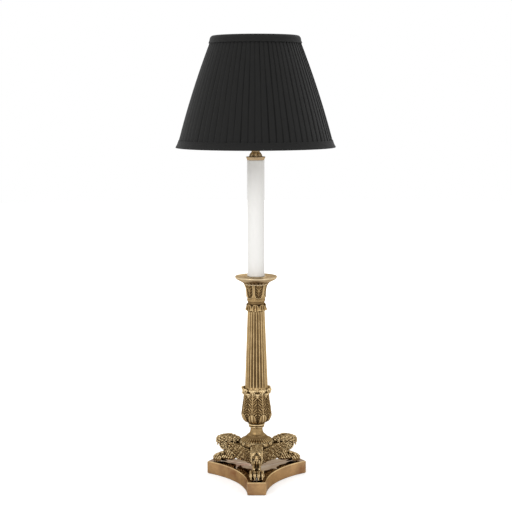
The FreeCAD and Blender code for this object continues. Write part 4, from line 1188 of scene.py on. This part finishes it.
def legLumps():  # scrolls, leaf lobes, curls, bud and claws, laid on the leg that runs along x
    lumps = []
    centreX, centreZ = leg["voluteCentre"]
    for side in (-1, 1):
        path, radii = [], []
        for k in range(leg["spiralSteps"] + 1):
            t = k / leg["spiralSteps"]
            turn = 2.2 - fullTurn * leg["spiralTurns"] * t
            radius = leg["voluteRadius"] * (1 - 0.80 * t)
            flank = side * (leg["voluteHalf"] + 0.5 * t)
            path.append((centreX + radius * math.cos(turn), flank, centreZ + radius * math.sin(turn)))
            radii.append(leg["spiralWire"] * (1 - 0.35 * t))
        lumps.append(tube("scrollWire", path, radii))
        lumps.append(blob("scrollEye", (centreX, side * (leg["voluteHalf"] + 0.6), centreZ), (1.7, 1.2, 1.7)))
        for k, (x, z) in enumerate(leg["crown"]):  # leaf lobes that hang over the thigh's flank
            lean = (side * -0.28, 0.55 + 0.14 * k, 0)
            lumps.append(blob("thighLobe", (x - 1.0, side * 8.2, z - 5.2), (2.9, 1.9, 5.4), lean))
            lumps.append(blob("thighCurl", (x + 0.6, side * 9.0, z - 9.2), (2.0, 1.5, 2.0)))
        lumps.append(tube("kneeCurl", onSide(leg["kneeCurl"], side), leg["kneeWire"]))
    ribs = smoothLine([(x, 0, z + 0.5) for x, z in leg["crown"][:-1]], 3)
    lumps.append(tube("thighRib", ribs, [1.8] * len(ribs)))
    for side in (-1, 1):  # two curls that end in small scrolls over the bud
        lumps.append(tube("frontCurl", onSide(leg["frontCurl"], side), leg["frontWire"]))
    budX, budZ = leg["bud"]
    lumps.append(blob("bud", (budX + 0.8, 0, budZ + 1.0), (3.8, 3.9, 5.6), (0, -0.2, 0)))
    lumps.append(blob("budTip", (budX - 0.6, 0, budZ - 4.2), (2.1, 2.0, 2.6)))
    for side in (-1, 1):
        lumps.append(blob("budLeaf", (budX - 1.2, side * 3.6, budZ + 3.4), (2.4, 2.0, 4.0), (side * 0.5, 0, 0)))
        lumps.append(blob("cuff", (budX - 8.5, side * 4.4, budZ - 20.5), (4.6, 2.6, 3.2), (0, 0.4, 0)))
    for k in range(leg["toes"]):  # knuckles and claws
        y = (k - (leg["toes"] - 1) / 2) * leg["toePitch"]
        back = y ** 2 / 26 * 0.55
        lumps.append(blob("knuckle", (78.4 - back, y, 36.2), (4.0, 2.7, 2.9), (0, 0.35, 0)))
        lumps.append(blob("toeEnd", (84.2 - back, y, 31.2), (3.2, 2.9, 4.6)))
        lumps.append(blob("claw", (87.4 - back, y, 27.0), (1.3, 1.1, 3.0), (0, -0.35, 0)))
    return lumps


def legRelief(x, y, z, nx, ny, nz):  # grooves down the shank, flecks on the thigh and fur on the paw
    front = ease(nx, 0.25, 0.6) * window(z, 37, 40, 53, 57) * ease(6.9 - abs(y), 0, 1)
    groove = front * (0.55 * wave(y / (2 * leg["shankHalf"]) * leg["grooves"]) - 0.3)
    bud = ridge(math.hypot(x - leg["bud"][0], y, 0.7 * (z - leg["bud"][1])), 5.5)
    upper = ease(z, 44, 48) * (1 - 0.8 * front) * (1 - bud)
    flecks = wave(0.25 * x + 0.16 * z) * wave(0.17 * z - 0.15 * x + 0.13 * abs(y))
    fur = window(z, 28, 31, 43, 47) * ease(abs(ny), 0.3, 0.8) * 0.4 * wave(0.22 * x + 0.12 * z)
    return groove + 0.62 * upper * flecks + fur + 0.25 * noise.noise(Vector((x, y, z)) * 0.5)


def makeLegs():
    casting = copyOf("leg_front", "legCasting")
    casting.data.transform(Matrix.Rotation(math.pi / 2, 4, "Z"))
    for vertex in casting.data.vertices:  # slims the scroll to the width of the shank
        x, z = vertex.co.x / mm, vertex.co.z / mm
        vertex.co.y *= 1 - 0.16 * ease(x, 57, 62) * window(z, 43, 46, 66, 70)
    casting = joinAll("legCasting", [casting] + legLumps())
    castTogether(casting, leg["voxel"], 3)
    places, normals = readPoints(casting)
    places += normals * np.array([legRelief(*place, *normal) for place, normal in zip(places, normals)])[:, None]
    places[:, 2] = np.maximum(places[:, 2], levels("plinth")[1] + 0.02)
    writePoints(casting, places)
    markWear(casting, *leg["wear"])
    for node, degrees in leg["placed"].items():
        standFor(copyTurned(casting, degrees, "pawLeg" + node[4:].capitalize()), node, "gilt")
    bpy.data.objects.remove(casting)


hub = {"voxel": 0.7, "featherLength": 6.2, "featherWidth": 4.6, "relief": 2.0, "sway": 4.5, "parting": 1.6}


def featherHeight(p, q):  # rows of lapping feathers, p runs towards their tips
    best = 0.0
    row = math.floor(p / hub["featherLength"])
    for k in (row - 1, row):
        u = ((q / hub["featherWidth"] + 0.5 * (k % 2)) % 1 - 0.5) * 2
        t = p / hub["featherLength"] - k
        tip = 1.6 - 0.6 * u * u
        if t <= tip:
            barbs = 0.10 * wave(1.6 * t - 0.9 * abs(u))
            best = max(best, 0.12 + 0.80 * (t / tip) ** 1.3 - 0.50 * u * u + 0.30 * ridge(u, 0.22) + barbs)
    return best


def makeHub():
    piece = copyOf("winged_hub", "wingedHub")
    castTogether(piece, hub["voxel"], 2)
    low, high = levels("winged_hub")
    moves, wear = [], []
    places, normals = readPoints(piece)
    for (x, y, z), (_, _, nz) in zip(places, normals):
        radius = math.hypot(x, y)
        turn = (math.degrees(math.atan2(y, x)) + 30 + 60) % 120 - 60
        along = radius * math.sin(math.radians(turn))
        away, up = abs(along), z - low
        p = away * 0.66 + up * 0.75 + noise.noise(Vector((x, y, z)) * 0.11) * hub["sway"]
        q = -away * 0.75 + up * 0.66 + 2.2 * noise.noise(Vector((z, x, y)) * 0.16)
        height, parting = featherHeight(p, q), ridge(along, hub["parting"])
        share = ease(radius, 12, 15) * (1 - ease(nz, 0.75, 0.95))
        moves.append(share * (hub["relief"] * (height - 0.75) * (1 - parting) + 0.7 * parting))
        wear.append(-0.12 + 0.98 * height * (1 - parting) + 0.5 * parting + 0.15 * ease(z, high - 3, high))
    writePoints(piece, places + normals * np.array(moves)[:, None])
    writeWear(piece, wear)
    standFor(piece, "winged_hub", "gilt")


plinth = {"edgeWidth": 0.55, "topDepth": 0.1, "topFacing": 0.95, "edgeDepth": 1.5, "edgeFacing": 0.2,
          "edgeArea": 22e-6, "edgeReach": 0.04}


def makePlinth():
    piece = copyOf("plinth", "plinthBlock")
    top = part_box("plinth")[1].z
    roundEdges(piece, plinth["edgeWidth"], 28)
    standFor(piece, "plinth", "plinthSide")
    piece.data.materials.append(finishes["plinthEdgeHighlight"])
    piece.data.materials.append(finishes["plinthTopReflection"])
    for face in piece.data.polygons:
        below, facing = (top - face.center.z) / mm, face.normal.z
        narrow = face.area < plinth["edgeArea"] and face.center.length > plinth["edgeReach"]
        # partly painted reflection: the upward faces take the paler, greyer, glossier top copy
        if below < plinth["topDepth"] and facing > plinth["topFacing"]:
            face.material_index = 2
        # painted highlight: the rounded edges and the narrow corner faces take the brighter edge copy
        elif below < plinth["edgeDepth"] and facing > plinth["edgeFacing"] or narrow:
            face.material_index = 1
        else:
            face.material_index = 0
    shadeByAngle(piece, 32)


makePlinth()
makeHub()
makeLegs()
print("foot made")

addCamera()
for name, softbox in softboxes.items():
    addSoftbox(name, **softbox)
addStage()
print("picture set")

bpy.context.scene.view_settings.view_transform = "Standard"
